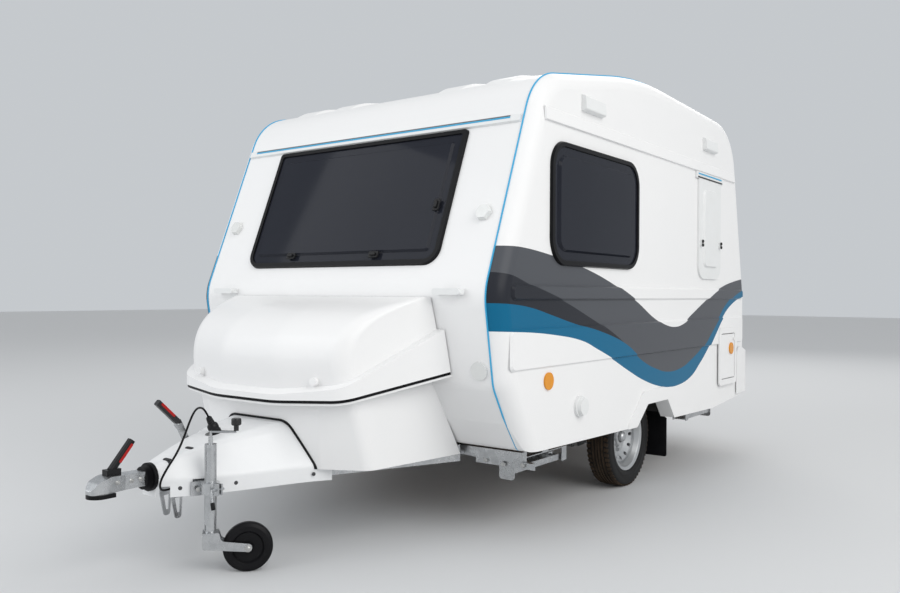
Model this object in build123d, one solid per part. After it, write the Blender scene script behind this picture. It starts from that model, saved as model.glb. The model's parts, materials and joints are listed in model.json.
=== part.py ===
from build123d import *
import os
from math import atan2, cos, degrees, hypot, radians, sin, tan

# Travel caravan, in millimetres. +Z is up, the drawbar points to -Y and the left side is +X.
# While it is modelled, a place along the caravan is measured from the front knuckle of the
# body, positive to the rear, and a height from the ground. write() then moves every piece so
# that the origin lies on the ground under the middle of the overall length.

# Overall
coupling_tip = -1271          # foremost point of the coupling, ahead of the knuckle
body_rear = 3352              # rear wall at its knuckle
half_width = 1022             # centre plane to the flat of a side
skirt_z = 364                 # lowest line of the skirt, behind the wheels
skirt_front_z = 412           # skirt at its front corner
skirt_low_y = body_rear - 702   # where the skirt is lowest
roof_z = 2382                 # highest line of the roof, where its two slopes meet
roof_fall = 0.022             # fall of the rear slope for each unit of length
knuckle_z = 1135              # front knuckle
rear_knuckle_z = 1130

# Shell
wall = 28
corner_r = 85                 # between a side and the front, roof or rear
seam_x = half_width - corner_r + 13
piping = 6
front_lean = 0.386            # rearward run of the upper front for each unit of height
rear_lean = 0.2243
roof_rise = 0.2
brow_z = 2171
crest_y = 1500
bumper_proud = 45

# Running gear
wheel_y = body_rear - 1726
wheel_x = 810                 # middle of a tyre
tyre_r = 285
tyre_w = 146
rim_w = 124                   # over the outsides of the rim's flanges
rim_r = 183
axle_z = 270
axle_y = wheel_y - 165
axle_half = 596

# Chassis
rail_x = 450
rail_w = 44
rail_h = 80
rail_top = 400
floor_t = 35
rail_front = 300
draw_w = 36                   # width of a drawbar rail
box_floor = 362               # underside of the gas locker
rail_rear = body_rear - 110

# Jockey wheel
jockey_x = 200
jockey_y = -860
jockey_r = 100
jockey_trail = 148
jockey_swivel = 50.4          # degrees from +X to the trailing arm at rest
jockey_tube_r = 24

# Running and resting gaps between pieces
seat = 0.3
clear = 6
running = 0.08

front_slope = Plane(
    origin=(0, -12, knuckle_z), x_dir=(1, 0, 0), z_dir=(0, -1, front_lean)
)
rear_slope = Plane(
    origin=(0, body_rear, rear_knuckle_z), x_dir=(-1, 0, 0), z_dir=(0, 1, rear_lean)
)
trim_up = 868                 # trim rails, up the slope from the knuckle

middle = (coupling_tip + body_rear + bumper_proud) / 2


# Small helpers


def outline(rows):
    """Closed face in the XY plane from rows of x, y and corner radius."""
    face = make_face(Polyline(*[(x, y) for x, y, r in rows], close=True))
    for x, y, r in rows:
        if r:
            corner = face.vertices().sort_by_distance((x, y, 0))[0]
            face = fillet(corner, r)
    return face


def mirrored(rows):
    """Rows of one half, right side first, with their mirror image added."""
    return rows + [(-x, y, r) for x, y, r in reversed(rows)]


def side_view(rows, half):
    """Prism along X, from an outline of y and z, reaching half to each side."""
    return extrude(Plane.YZ * outline(rows), amount=half, both=True)


def block(x0, x1, y0, y1, z0, z1):
    """Box between two corners."""
    size = (x1 - x0, y1 - y0, z1 - z0)
    place = ((x0 + x1) / 2, (y0 + y1) / 2, (z0 + z1) / 2)
    return Pos(*place) * Box(*size)


def rod(start, end, radius):
    """Cylinder between two points."""
    line = Line(start, end)
    return sweep(Plane(origin=start, z_dir=line @ 1 - line @ 0) * Circle(radius), path=line)


def bar(start, end, width, height):
    """Level rectangular bar between two points, width measured sideways."""
    run = hypot(end[0] - start[0], end[1] - start[1])
    turn = degrees(atan2(end[1] - start[1], end[0] - start[0]))
    centre = [(a + b) / 2 for a, b in zip(start, end)]
    return Pos(*centre) * Rot(0, 0, turn) * Box(run, width, height)


def both_sides(shape):
    """A left-hand piece and its mirror image."""
    return [shape, mirror(shape, about=Plane.YZ)]


def shifted(plane, x, y):
    """Plane moved along its own x and y."""
    return Plane(plane * Pos(x, y, 0))


def ring_plate(plane, outer, inner, low, high):
    """Frame between two outlines on a plane, from low to high along its normal."""
    plate = extrude(plane.offset(low) * outer, amount=high - low)
    return plate - extrude(plane.offset(low - 1) * inner, amount=high - low + 2)


def slab(plane, face, low, high):
    """Plate of one outline on a plane, from low to high along its normal."""
    return extrude(plane.offset(low) * face, amount=high - low)


def side_plane(y, z, side=1):
    """Plane on the flat of a side, its x to the rear on the left side, to the front on the right."""
    return Plane(origin=(side * half_width, y, z), x_dir=(0, side, 0), z_dir=(side, 0, 0))


def write(node, shapes):
    """Move a sub-part to the part's origin and save it as one STEP file."""
    pieces = shapes if isinstance(shapes, (list, tuple)) else [shapes]
    solids = [s for piece in pieces for s in piece.solids()]
    moved = [Pos(0, -middle, 0) * s for s in solids]
    whole = moved[0] if len(moved) == 1 else Compound(children=moved)
    export_step(whole, f"parts/{node}.step")


# Body shell


def shell_rows(low):
    """Side view of the shell, closed by a straight lower edge at the height low."""
    knee = (60, 722)
    lower_slope = 0.592
    brow_y = -12 + front_lean * (brow_z - knuckle_z)
    rear_top_z = roof_z - roof_fall * 1570
    rear_top_y = body_rear - rear_lean * (rear_top_z - rear_knuckle_z)
    return [
        (knee[0] + lower_slope * (knee[1] - low), low, 0),
        (knee[0], knee[1], 150),
        (-12, knuckle_z, 250),
        (brow_y, brow_z, 320),
        (crest_y, roof_z, 3000),
        (rear_top_y, rear_top_z, 380),
        (body_rear, rear_knuckle_z, 300),
        (body_rear, low, 0),
    ]


def rounded_body(inset):
    """Whole outer form of the body, or the same form inset by a wall."""
    low = 240
    face = outline(shell_rows(low))
    if inset:
        face = offset(face, amount=-inset, kind=Kind.INTERSECTION)
    body = extrude(Plane.YZ * face, amount=half_width - inset, both=True)
    edges = [
        e
        for e in body.edges()
        if abs(abs(e.center().X) - (half_width - inset)) < 1 and e.center().Z > low + inset + 1
    ]
    return fillet(edges, corner_r - inset)


def below_skirt():
    """Everything above the skirt line: a rounded front corner and a tail that rises."""
    rows = [
        (-94, 900, 0),
        (262, skirt_front_z, 60),
        (skirt_low_y, skirt_z, 0),
        (body_rear + 200, skirt_z + 0.066 * (body_rear + 200 - skirt_low_y), 0),
        (body_rear + 200, 3000, 0),
        (-700, 3000, 0),
        (-700, 900, 0),
    ]
    return side_view(rows, half_width + 200)


def roof_rib(x):
    """Raised rib along the roof, its centre line at x; it rises out of the brow."""
    sink = 8
    rise = 18
    up = Vector(0, 1 * front_lean, 1).normalized()
    out = Vector(0, -1, front_lean).normalized()
    brow = Vector(x, -12 + front_lean * (brow_z - knuckle_z), brow_z)
    nose = brow - up * 230 - out * 75
    end = body_rear - 620
    path = FilletPolyline(
        nose,
        brow - out * sink,
        (x, crest_y, roof_z - sink),
        (x, end, roof_z - roof_fall * (end - crest_y) - sink),
        radius=(300, 3000),
    )
    section = outline([(-98, 0, 0), (98, 0, 0), (78, sink + rise, 16), (-78, sink + rise, 16)])
    lie = Plane(origin=path @ 0, x_dir=(-1, 0, 0), z_dir=path % 0)
    return sweep(lie * section, path=path)


def build_shell():
    """Hollow shell, open below, before it is split and cut."""
    return (rounded_body(0) & below_skirt()) - rounded_body(wall)


# Wheel arch: y, z and corner radius
arch = [
    (wheel_y - 262, 322, 0),
    (wheel_y - 262, 362, 0),
    (wheel_y - 80, 504, 25),
    (wheel_y + 233, 504, 25),
    (wheel_y + 357, 362, 0),
    (wheel_y + 357, 322, 0),
]

# Windows: width, height, lower corner radius, upper corner radius
front_window = (1312, 708, 84, 22)
side_window = (981, 596, 132, 132)
rear_window = (1200, 520, 90, 90)
door_window = (330, 420, 60, 60)
side_window_at = (910, 1566)
front_window_up = 490
rear_window_up = 490
frame_w = 26
pane_rim = 66                 # from the frame's outer edge to the raised middle of a pane


def window_face(size, inset):
    """Window outline, inset all round."""
    width, height, low_r, high_r = size
    x = width / 2 - inset
    y = height / 2 - inset
    low = max(low_r - inset, 12)
    high = max(high_r - inset, 12)
    return outline([(-x, -y, low), (x, -y, low), (x, y, high), (-x, y, high)])


def window_set(plane, size):
    """Opening cutter, rubber frame and moulded pane of one window on a plane."""
    lap = 14
    opening = slab(plane, window_face(size, lap), -wall - 60, 60)
    outer_ring = extrude(plane.offset(seat) * window_face(size, 0), amount=15, taper=18)
    outer_ring = outer_ring - slab(plane, window_face(size, frame_w), -1, 20)
    sleeve = ring_plate(
        plane, window_face(size, lap + seat), window_face(size, frame_w), -wall - 4, seat + 1
    )
    pane = slab(plane, window_face(size, frame_w + seat), -10, 7)
    raised = extrude(plane.offset(6) * window_face(size, pane_rim), amount=13, taper=40)
    pocket = slab(plane, window_face(size, pane_rim + 16), -11, 8)
    return opening, outer_ring + sleeve, pane + raised - pocket


front_window_plane = shifted(front_slope, 0, front_window_up)
rear_window_plane = shifted(rear_slope, 0, rear_window_up)

# Raised bands pressed into the sides: lower z, upper z, start, end behind the knuckle, height, bevel
side_bands = [
    (1100, 1178, 88, body_rear - 88, 12, 40),
    (788, 980, 84, body_rear - 88, 10, 40),
]
ridge = (1938, 2008, 371, body_rear - 290, 12)

door_y = (body_rear - 912, body_rear - 322)
door_z = (430, 2080)
door_gap = 8
hinge_out = 24               # door hinge axis, out from the wall
hinge_ups = (-560, 0, 560)

hatch_at = (body_rear - 1016, body_rear - 597, 1240, 1893)
flap_face = 18.3              # outer face of the flap from the flat of the side
flap_at = (body_rear - 623, body_rear - 262, 506, 905)


def side_bands_on(side):
    """Raised bands of one side, as solids that sink 2 mm into the wall."""
    solids = []
    for low, high, start, end, height, slope in side_bands:
        plane = side_plane((start + end) / 2, (low + high) / 2, side).offset(-2)
        face = plane * outline(
            [
                (-(end - start) / 2, -(high - low) / 2, 30),
                ((end - start) / 2, -(high - low) / 2, 30),
                ((end - start) / 2, (high - low) / 2, 30),
                (-(end - start) / 2, (high - low) / 2, 30),
            ]
        )
        solids.append(extrude(face, amount=height + 2, taper=slope))
    low, high, start, end, height = ridge
    wedge = Plane(origin=(0, start, 0), x_dir=(side, 0, 0), z_dir=(0, side, 0))
    x = half_width
    profile = Plane.XZ.offset(-start) * make_face(
        Polyline(
            (side * (x - 2), low),
            (side * (x + height), low + 5),
            (side * (x + 6), high - 8),
            (side * (x - 2), high),
            close=True,
        )
    )
    solids.append(extrude(profile, amount=-(end - start)))
    return solids


def arch_flare(side):
    """Flare round a wheel arch, and its inner return."""
    rows = [
        (wheel_y - 354, 355, 0),
        (wheel_y - 326, 420, 30),
        (wheel_y - 136, 582, 30),
        (wheel_y + 164, 586, 30),
        (wheel_y + 212, 504, 0),
        (wheel_y + 74, 440, 0),
        (wheel_y - 126, 355, 0),
    ]
    plane = Plane(origin=(side * (half_width - 2), 0, 0), x_dir=(0, 1, 0), z_dir=(1, 0, 0))
    flare = extrude(plane * outline(rows), amount=side * 12)
    lip_rows = [
        (wheel_y - 276, 355, 0),
        (wheel_y - 88, 518, 25),
        (wheel_y + 241, 518, 25),
        (wheel_y + 379, 355, 0),
    ]
    lip = extrude(
        Plane(origin=(side * (half_width - 90), 0, 0), x_dir=(0, 1, 0), z_dir=(1, 0, 0))
        * outline(lip_rows),
        amount=side * 80,
    )
    return [flare, lip]


def build_sides(shell):
    """Left and right side shells, with their bands, openings and arches."""
    result = {}
    for name, side in (("left", 1), ("right", -1)):
        zone = block(seam_x + piping / 2, half_width + 60, -300, body_rear + 300, 0, 3000)
        zone = zone if side > 0 else mirror(zone, about=Plane.YZ)
        panel = shell & zone
        for band in side_bands_on(side) + arch_flare(side):
            panel = panel + band
        panel = (panel & below_skirt()) - side_view(arch, half_width + 200)
        window_cut, frame, pane = window_set(
            side_plane(side_window_at[0], side_window_at[1], side), side_window
        )
        panel = panel - window_cut
        result[name] = [panel, frame, pane]
    left = result["left"]
    y0, y1, z0, z1 = flap_at
    left[0] = left[0] - block(half_width - 122, half_width + 78, y0 + 34, y1 - 34, z0 + 34, z1 - 34)
    right = result["right"]
    y0, y1 = door_y
    z0, z1 = door_z
    surround = 40
    strip = block(
        -half_width - 60, -half_width, y0 - surround, y1 + surround, z0 - surround, z1 + surround
    )
    right[0] = right[0] - strip
    right[0] = right[0] - side_view(
        [(y0, z0, 70), (y1, z0, 70), (y1, z1, 70), (y0, z1, 70)], half_width + 60
    ).intersect(block(-half_width - 60, -seam_x, y0 - 5, y1 + 5, z0 - 5, z1 + 5))
    return left, right


def build_band(shell):
    """Front, roof and rear panels of the centre band."""
    x = seam_x - piping / 2
    band = shell & block(-x, x, -300, body_rear + 300, 0, 3000)
    split_front = knuckle_z + trim_up * front_slope.y_dir.Z
    split_rear = rear_knuckle_z + trim_up * rear_slope.y_dir.Z
    front = band & block(-x, x, -300, 900, 0, split_front)
    rear = band & block(-x, x, body_rear - 900, body_rear + 300, 0, split_rear)
    roof = band - block(-x - 1, x + 1, -300, 900, 0, split_front)
    roof = roof - block(-x - 1, x + 1, body_rear - 900, body_rear + 300, 0, split_rear)
    for place in (-680, -385, 385, 680):
        roof = roof + roof_rib(place)
    return front, roof, rear


def build_piping():
    """Piping that covers each seam from the front skirt over the roof to the rear skirt."""
    proud = offset(outline(shell_rows(240)), amount=4)
    deep = offset(outline(shell_rows(240)), amount=-wall + 1)
    ring = extrude(Plane.YZ * proud, amount=piping / 2 - seat, both=True)
    ring = ring - extrude(Plane.YZ * deep, amount=piping, both=True)
    ring = ring & below_skirt()
    return [Pos(seam_x, 0, 0) * ring, Pos(-seam_x, 0, 0) * ring]


# Openings, lids and trim on the body


def build_roof_hatch(roof):
    """Roof light: a low frame and its domed lid, over a hole in the roof."""
    y = body_rear - 1052
    size = 400
    hole_half = size / 2 - 25
    lie = Plane(
        origin=(0, y, roof_z - roof_fall * (y - crest_y)), x_dir=(1, 0, 0), z_dir=(0, roof_fall, 1)
    )
    hole = slab(lie, Rectangle(2 * hole_half, 2 * hole_half), -80, 80)
    base = slab(lie, Rectangle(size, size), seat, 17) - hole
    dome = Pos(0, 0, 17 + seat + 17.5) * Box(size + 10, size + 10, 35)
    dome = fillet(dome.edges().filter_by(Axis.Z), 30)
    dome = fillet(dome.edges().group_by(Axis.Z)[-1], 16)
    return roof - hole, base, lie * dome


def build_trim_rails():
    """Rail over the front window, over the rear window and over the narrow hatch, with end caps."""
    rails, caps = [], []
    for slope in (front_slope, rear_slope):
        place = shifted(slope, 0, trim_up)
        section = outline([(-22, 0, 0), (22, 0, 0), (17, 12, 3), (-17, 12, 3)])
        for length, x, shapes in ((1770, 0, rails), (52, 912, caps), (52, -912, caps)):
            lie = shifted(place, x - length / 2, 0).offset(seat)
            run = Plane(origin=lie.origin, x_dir=lie.y_dir, z_dir=lie.x_dir)
            shapes.append(extrude(run * section, amount=length))
    y0, y1, z0, z1 = hatch_at
    plane = side_plane((y0 + y1) / 2 - 2, z1 + 22.5)
    strip = outline([(-250, -22, 4), (250, -22, 4), (250, 22, 4), (-250, 22, 4)])
    rails.append(slab(plane, strip, seat, 13))
    return rails, caps


def build_hatch():
    """Narrow blank hatch: a frame plate with rounded lower corners and a raised inner panel."""
    y0, y1, z0, z1 = hatch_at
    plane = side_plane((y0 + y1) / 2, (z0 + z1) / 2)
    half_y, half_z = (y1 - y0) / 2, (z1 - z0) / 2
    rows = [(-half_y, -half_z, 95), (half_y, -half_z, 95), (half_y, half_z, 8), (-half_y, half_z, 8)]
    plate = slab(plane, outline(rows), seat, 13)
    low, high = -half_z + 75, half_z - 60
    inner = [(-135, low, 45), (135, low, 45), (135, high, 45), (-135, high, 45)]
    raised = extrude(plane.offset(12) * outline(inner), amount=14, taper=35)
    clip = outline([(-9, -20, 4), (9, -20, 4), (9, 20, 4), (-9, 20, 4)])
    clips = []
    for y in (-half_y + 32, half_y - 32):
        clips.append(slab(shifted(plane, y, -half_z + 235), clip, 13 + seat, 24))
    return plate + raised, clips


def build_flap():
    """Service flap with its frame, and the shallow locker behind it."""
    y0, y1, z0, z1 = flap_at
    y, z = (y0 + y1) / 2, (z0 + z1) / 2
    base = flap_face - 8
    plane = side_plane(y, z)
    half_y, half_z = (y1 - y0) / 2, (z1 - z0) / 2

    def face(inset, r):
        a, b = half_y - inset, half_z - inset
        return outline([(-a, -b, r), (a, -b, r), (a, b, r), (-a, b, r)])

    frame = ring_plate(plane, face(0, 30), face(40, 14), base, base + 10)
    frame = frame + ring_plate(plane, face(34 + seat, 16), face(40, 14), -wall - 2, base + 1)
    flap = slab(plane, face(40 + clear, 12), -10, base + 8)
    lock = slab(shifted(plane, half_y - 70, 120), Circle(13), base + 8 + seat, base + 18)
    depth = 260
    outer = half_width - wall - seat
    locker = block(outer - depth, outer, y0 + 20, y1 - 20, z0 + 20, z1 - 20)
    hollow = block(half_width - wall - depth + 3, half_width, y0 + 26, y1 - 26, z0 + 26, z1 - 26)
    return frame, flap, lock, locker - hollow


def build_vents():
    """Hooded vents above the ridge on each side."""
    hoods = []
    for side in (1, -1):
        rear_y = body_rear - 814 if side > 0 else body_rear - 1122
        for y, z in ((838, 2083), (rear_y, 2130)):
            rows = [(0, -40, 0), (30, -34, 8), (24, 34, 8), (0, 42, 0)]
            lie = Plane(
                origin=(side * (half_width + seat), y + side * 110, z),
                x_dir=(side, 0, 0),
                z_dir=(0, -side, 0),
            )
            hoods.append(extrude(lie * outline(rows), amount=220))
    return hoods


def round_pieces():
    """Round reflectors and the filler cap: node, left side only or both, places, radius, height."""
    amber, white, cap = [], [], []
    for side in (1, -1):
        rear_at = (body_rear - 387, 757, flap_face + seat)
        if side < 0:
            rear_at = (body_rear - 1012, 727, seat)
        for y, z, base in ((413, 727, seat), rear_at):
            amber.append(slab(side_plane(y, z, side), Circle(41), base, base + 8))
    lean = (60 + 12) / (knuckle_z - 722)
    lower_front = Plane(origin=(0, 60 - lean * 70, 792), x_dir=(1, 0, 0), z_dir=(0, -1, -lean))
    for x in (886, -886):
        white.append(slab(shifted(lower_front, x, 0), Circle(42), seat, 8))
    plane = side_plane(719, 578)
    cap = slab(plane, Circle(52), seat, 14) + extrude(plane.offset(13) * Circle(44), amount=22, taper=6)
    return amber, white, cap


def build_marker_lamps():
    """White marker lamps beside the front window: six-sided lenses."""
    lamps = []
    for x in (853, -853):
        plane = shifted(front_slope, x, 388)
        lamps.append(extrude(plane.offset(seat) * RegularPolygon(42, 6), amount=22, taper=12))
    return lamps


def build_grab_handles():
    """Handles at the front corners, level with the knuckle."""
    handles = []
    for x in (765, -765):
        plane = Plane(origin=(x, -5, knuckle_z + 6), x_dir=(1, 0, 0), z_dir=(0, -1, 0))
        bar_face = outline([(-75, -14, 12), (75, -14, 12), (75, 14, 12), (-75, 14, 12)])
        handle = slab(plane, bar_face, 26, 44)
        for foot in (-60, 60):
            handle = handle + slab(shifted(plane, foot, 0), Rectangle(26, 26), -16, 30)
        handles.append(handle - grown_body(seat))
    return handles


# Entry door


def build_door():
    """Entry door with its window and handle; it hinges on its front edge, outside the wall."""
    y0, y1 = door_y[0] + door_gap, door_y[1] - door_gap
    z0, z1 = door_z[0] + door_gap, door_z[1] - door_gap
    y, z = (y0 + y1) / 2, (z0 + z1) / 2
    plane = side_plane(y, z, -1)
    a, b = (y1 - y0) / 2, (z1 - z0) / 2
    leaf = slab(plane, outline([(-a, -b, 62), (a, -b, 62), (a, b, 62), (-a, b, 62)]), -wall, 0)
    panel = [(-a + 60, -b + 60, 40), (a - 60, -b + 60, 40), (a - 60, -60, 40), (-a + 60, -60, 40)]
    leaf = leaf + extrude(plane.offset(-1) * outline(panel), amount=8, taper=40)
    window_plane = shifted(plane, 0, 420)
    cut, frame, pane = window_set(window_plane, door_window)
    leaf = leaf - cut
    x = -half_width - hinge_out
    for up in hinge_ups:
        knuckle = Pos(x, door_y[0], z + up) * Cylinder(8, 50)
        strap = block(x - 6, x + 8, door_y[0], y0 + 52, z + up - 20, z + up + 20)
        foot = block(x + 4, -half_width + 1, y0 + 6, y0 + 52, z + up - 20, z + up + 20)
        leaf = leaf + strap + foot + knuckle
    handle_plane = shifted(plane, -a + 70, 60)
    handle_rows = [(-34, -60, 14), (34, -60, 14), (34, 60, 14), (-34, 60, 14)]
    handle = slab(handle_plane, outline(handle_rows), seat, 12)
    grip = slab(handle_plane, outline([(-12, -44, 8), (12, -44, 8), (12, 44, 8), (-12, 44, 8)]), 11, 26)
    return leaf, frame, pane, handle + grip


def build_door_hinges():
    """Fixed halves of the door hinges, on the wall in front of the door."""
    x = -half_width - hinge_out
    z = (door_z[0] + door_z[1]) / 2
    halves = []
    for up in hinge_ups:
        for end in (-45, 45):
            knuckle = Pos(x, door_y[0], z + up + end) * Cylinder(8, 30)
            level = z + up + end
            y = door_y[0]
            foot = block(x - 8, -half_width - 8 - seat, y - 34, y - 2, level - 15, level + 15)
            halves.append(knuckle + foot)
    return halves


def build_door_frame():
    """Rubber frame on the wall round the door."""
    y0, y1 = door_y
    z0, z1 = door_z
    y, z = (y0 + y1) / 2, (z0 + z1) / 2
    a, b = (y1 - y0) / 2, (z1 - z0) / 2
    plane = side_plane(y, z, -1)
    wide, tall = a + 28, b + 28
    outer = outline([(-wide, -tall, 90), (wide, -tall, 90), (wide, tall, 90), (-wide, tall, 90)])
    inner = outline([(-a, -b, 68), (a, -b, 68), (a, b, 68), (-a, b, 68)])
    return ring_plate(plane, outer, inner, seat, 8)


# Gas locker

lid_low = (770, 0.195)        # lower edge of the lid: height at the knuckle and rise to the rear
lid_rim = (965, 0.513)        # upper edge of its rim
locker_plan = [(737, 60, 0), (543, -456, 120), (200, -538, 500)]


def plan_face(inset, shrink=0.0):
    """Plan outline of the locker, inset and shrunk towards the body."""
    rows = []
    for x, y, r in locker_plan:
        new_y = y if y > 0 else (y + inset) * (1 - shrink)
        rows.append(((x - inset), new_y, r))
    return mirrored(rows)


def tilted_slab(low, high, half):
    """Prism along X between two tilted lines, each a height at the knuckle and a rise."""
    rows = [
        (-700, low[0] - 700 * low[1], 0),
        (60, low[0] + 60 * low[1], 0),
        (60, high[0] + 60 * high[1], 0),
        (-700, high[0] - 700 * high[1], 0),
    ]
    return side_view(rows, half)


# Sections of the hood: height, half-width at the body, corner x and y, front x and y, corner radius
hood_sections = [
    (640, 708, 516, -444, 190, -520, 110),
    (860, 700, 513, -438, 185, -508, 110),
    (950, 694, 522, -406, 178, -474, 110),
    (1030, 690, 556, -312, 165, -378, 105),
    (1085, 684, 606, -178, 145, -240, 90),
    (1116, 676, 636, -70, 110, -126, 60),
]


def build_hood(inset):
    """Domed upper part of the lid as a closed loft, inset by a wall."""
    faces = []
    for z, rear_x, corner_x, corner_y, front_x, front_y, r in hood_sections:
        rows = [
            (rear_x - inset, 60, 0),
            (corner_x - inset, corner_y + inset, r),
            (front_x, front_y + inset, 300),
        ]
        lift = z - inset if z > 700 else z
        faces.append(Pos(0, 0, lift) * outline(mirrored(rows)))
    return loft(faces)


def build_lid():
    """Gas locker lid: a raised rim, a domed hood, hollow, open below."""
    skin = 8
    rim = extrude(outline(plan_face(0)), amount=1500) & tilted_slab(lid_low, lid_rim, 900)
    rim = rim - tilted_slab((0, 0), lid_low, 900)
    hood = build_hood(0) - tilted_slab((0, 0), lid_low, 900)
    lid = rim + hood
    inner_rim = extrude(outline(plan_face(skin)), amount=1500)
    inner_rim = inner_rim & tilted_slab((0, 0), (lid_rim[0] - skin, lid_rim[1]), 900)
    lid = lid - inner_rim - build_hood(skin)
    return lid - offset_body(6)


def offset_body(gap):
    """Outer form of the body grown by a gap, to cut what stands against it."""
    face = offset(outline(shell_rows(200)), amount=gap)
    return extrude(Plane.YZ * face, amount=half_width - 40, both=True)


def tunnel(grow):
    """Passage for the covered drawbar through the locker box, grown by a wall."""
    y = cover_sections[-1][0]
    tail = extrude(Plane.XZ.offset(-y - 1) * cover_section(cover_sections[-1], -grow), amount=-700)
    return cover_form(-grow) + tail


def build_locker_box():
    """Tub below the lid, tapering down, with the drawbar passage through it."""
    skin = 8

    outer = locker_tub(0, box_floor) - tilted_slab((lid_low[0] - 14, lid_low[1]), (1400, 0), 900)
    inner = locker_tub(skin, box_floor + skin) - tunnel(skin)
    flange = extrude(outline(plan_face(6)) - outline(plan_face(62)), amount=1500)
    flange = flange & tilted_slab((lid_low[0] - 24, lid_low[1]), (lid_low[0] - 14, lid_low[1]), 900)
    box = outer - inner + flange - tunnel(0.9)
    for rail in build_drawbar(3):
        box = box - rail
    return box - offset_body(seat) - block(-900, 900, rail_front - seat, 600, 300, 425)


# Sections of the tub: half-width at the body, corner, crease beside the front wall, front
tub_sections = {
    "floor": (640, (548, -290), (343, -402), (150, -405)),
    820: (695, (512, -428), (410, -462), (150, -505)),
}


def locker_tub(inset, floor_z):
    """Closed tapering form of the tub, inset by its wall, from a floor height up."""
    faces = []
    for z, (rear_x, corner, crease, front) in tub_sections.items():
        rows = [
            (rear_x - inset, 420, 0),
            (corner[0] - inset, corner[1] + inset, 70),
            (crease[0] - inset / 2, crease[1] + inset, 60),
            (front[0], front[1] + inset, 0),
        ]
        faces.append(Pos(0, 0, floor_z if z == "floor" else z) * outline(mirrored(rows)))
    return loft(faces, ruled=True)


def build_passage_trim():
    """Black trim on the edge of the drawbar passage, proud of the tub's front wall."""
    lip = 6
    strip = tunnel(lip + 4) - tunnel(1)
    strip = strip & (locker_tub(-lip, box_floor) - locker_tub(-seat, box_floor - 1))
    return strip & block(-600, 600, -700, -300, box_floor, 700)


def build_lid_seal():
    """Black seal that the lid closes on, along the upper edge of the tub."""
    band = extrude(outline(plan_face(3)), amount=1500) - extrude(outline(plan_face(58)), amount=1500)
    band = band & tilted_slab((lid_low[0] - 13.5, lid_low[1]), (lid_low[0] - seat, lid_low[1]), 900)
    return band - offset_body(6)


def build_lid_locks():
    """Round lock covers on the rim of the lid."""
    locks = []
    for x in (382, -382):
        lean = 0.25 if x > 0 else -0.25
        plane = Plane(origin=(x, -459, 752), x_dir=(1, lean, 0), z_dir=(lean, -1, 0.06))
        locks.append(slab(plane, Circle(18), -30, 22) - Pos(0, -seat, 0) * build_hood(0))
    return locks


# Drawbar and its cover

# Sections of the cover: place, top height, half-width of the top, half-width and height of the foot
cover_sections = [
    (-1000, 436, 38, 56, 308),
    (-880, 474, 70, 130, 308),
    (-700, 519, 118, 212, 308),
    (-520, 552, 168, 277, 308),
    (-340, 570, 215, 367, 308),
]


lever_x = -105
housing_half = 48
plug_at = (-6, -690)


def cover_section(row, inset):
    """Cross section of the drawbar cover, inset by its wall."""
    y, top, top_x, foot_x, foot_z = row
    rows = [
        (foot_x - inset, foot_z - inset, 0),
        (foot_x - inset, foot_z + 70, 40),
        (top_x - inset / 2, top - inset, 0.42 * top_x),
    ]
    return outline(mirrored(rows))


def cover_form(inset):
    """Closed form of the drawbar cover, inset by its wall."""
    faces = []
    for row in cover_sections:
        start = row[0]
        if row is cover_sections[0]:
            start = start + inset
        if row is cover_sections[-1] and inset:
            start = start + 1
        faces.append(Plane.XZ.offset(-start) * cover_section(row, inset))
    return loft(faces)


def build_cover():
    """Moulded cover over the drawbar, open below and behind."""
    nose_hole = Pos(0, -1000, tube_z) * Rot(90, 0, 0) * Cylinder(32, 60)
    cable_notch = block(30, 80, -1020, -940, 300, 352)
    cover = cover_form(0) - cover_form(6) - nose_hole - cable_notch
    cuts = [block(18, 60, y, y + 12, 380, 600) for y in (-956, -850)]
    cuts.append(block(lever_x - 44, lever_x + 14, -830, -672, 400, 640))
    cuts.append(block(80, 170, jockey_y - 30, jockey_y + 30, 316, 374))
    cuts.append(Pos(plug_at[0], plug_at[1], 520) * Cylinder(34, 200))
    for cut in cuts:
        cover = cover - cut
    return cover


tube_z = 388                  # axis of the coupling tube
drawbar_front = (78, -865)
drawbar_rear = (620, 390)


def build_drawbar(gap=0):
    """Two drawbar rails that meet at the overrun housing, grown by a gap where one is given."""
    z = rail_top - rail_h / 2
    rail = bar((*drawbar_front, z), (*drawbar_rear, z), draw_w + 2 * gap, rail_h + 2 * gap)
    return both_sides(rail - block(0, 900, rail_front - seat, 600, 300, 420))


def build_overrun():
    """Overrun housing between the drawbar rails, with the coupling tube in front of it."""
    housing = block(-housing_half, housing_half, -930, -640, 345, 440)
    housing = fillet(housing.edges().filter_by(Axis.Y), 14)
    tube = rod((0, -1100, tube_z), (0, -925, tube_z), 25)
    hook_rows = [(-932, 345, 0), (-932, 300, 0), (-912, 205, 12), (-884, 205, 12), (-874, 345, 0)]
    slot_rows = [(-914, 290, 3), (-902, 228, 3), (-892, 228, 3), (-888, 290, 3)]
    hook = extrude(Plane.YZ * (outline(hook_rows) - outline(slot_rows)), amount=3, both=True)
    for x in (-38, 38):
        housing = housing + Pos(x, 0, 0) * hook
    return housing + tube


head_low = 362                # lower edge of the pressed coupling head
ball_y = -1222


def coupling_form():
    """Solid outer form of the coupling head: a domed nose on a tapering neck."""
    rows = [
        (-1268, head_low, 0),
        (-1268, 378, 10),
        (-1244, 408, 24),
        (-1196, 424, 30),
        (-1120, 420, 12),
        (-1044, 418, 0),
        (-1044, head_low, 0),
    ]
    plan_rows = [(31, -1044, 0), (31, -1130, 20), (43, -1212, 34), (30, -1268, 24)]
    form = side_view(rows, 46) & extrude(outline(mirrored(plan_rows)), amount=600)
    return form


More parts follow.
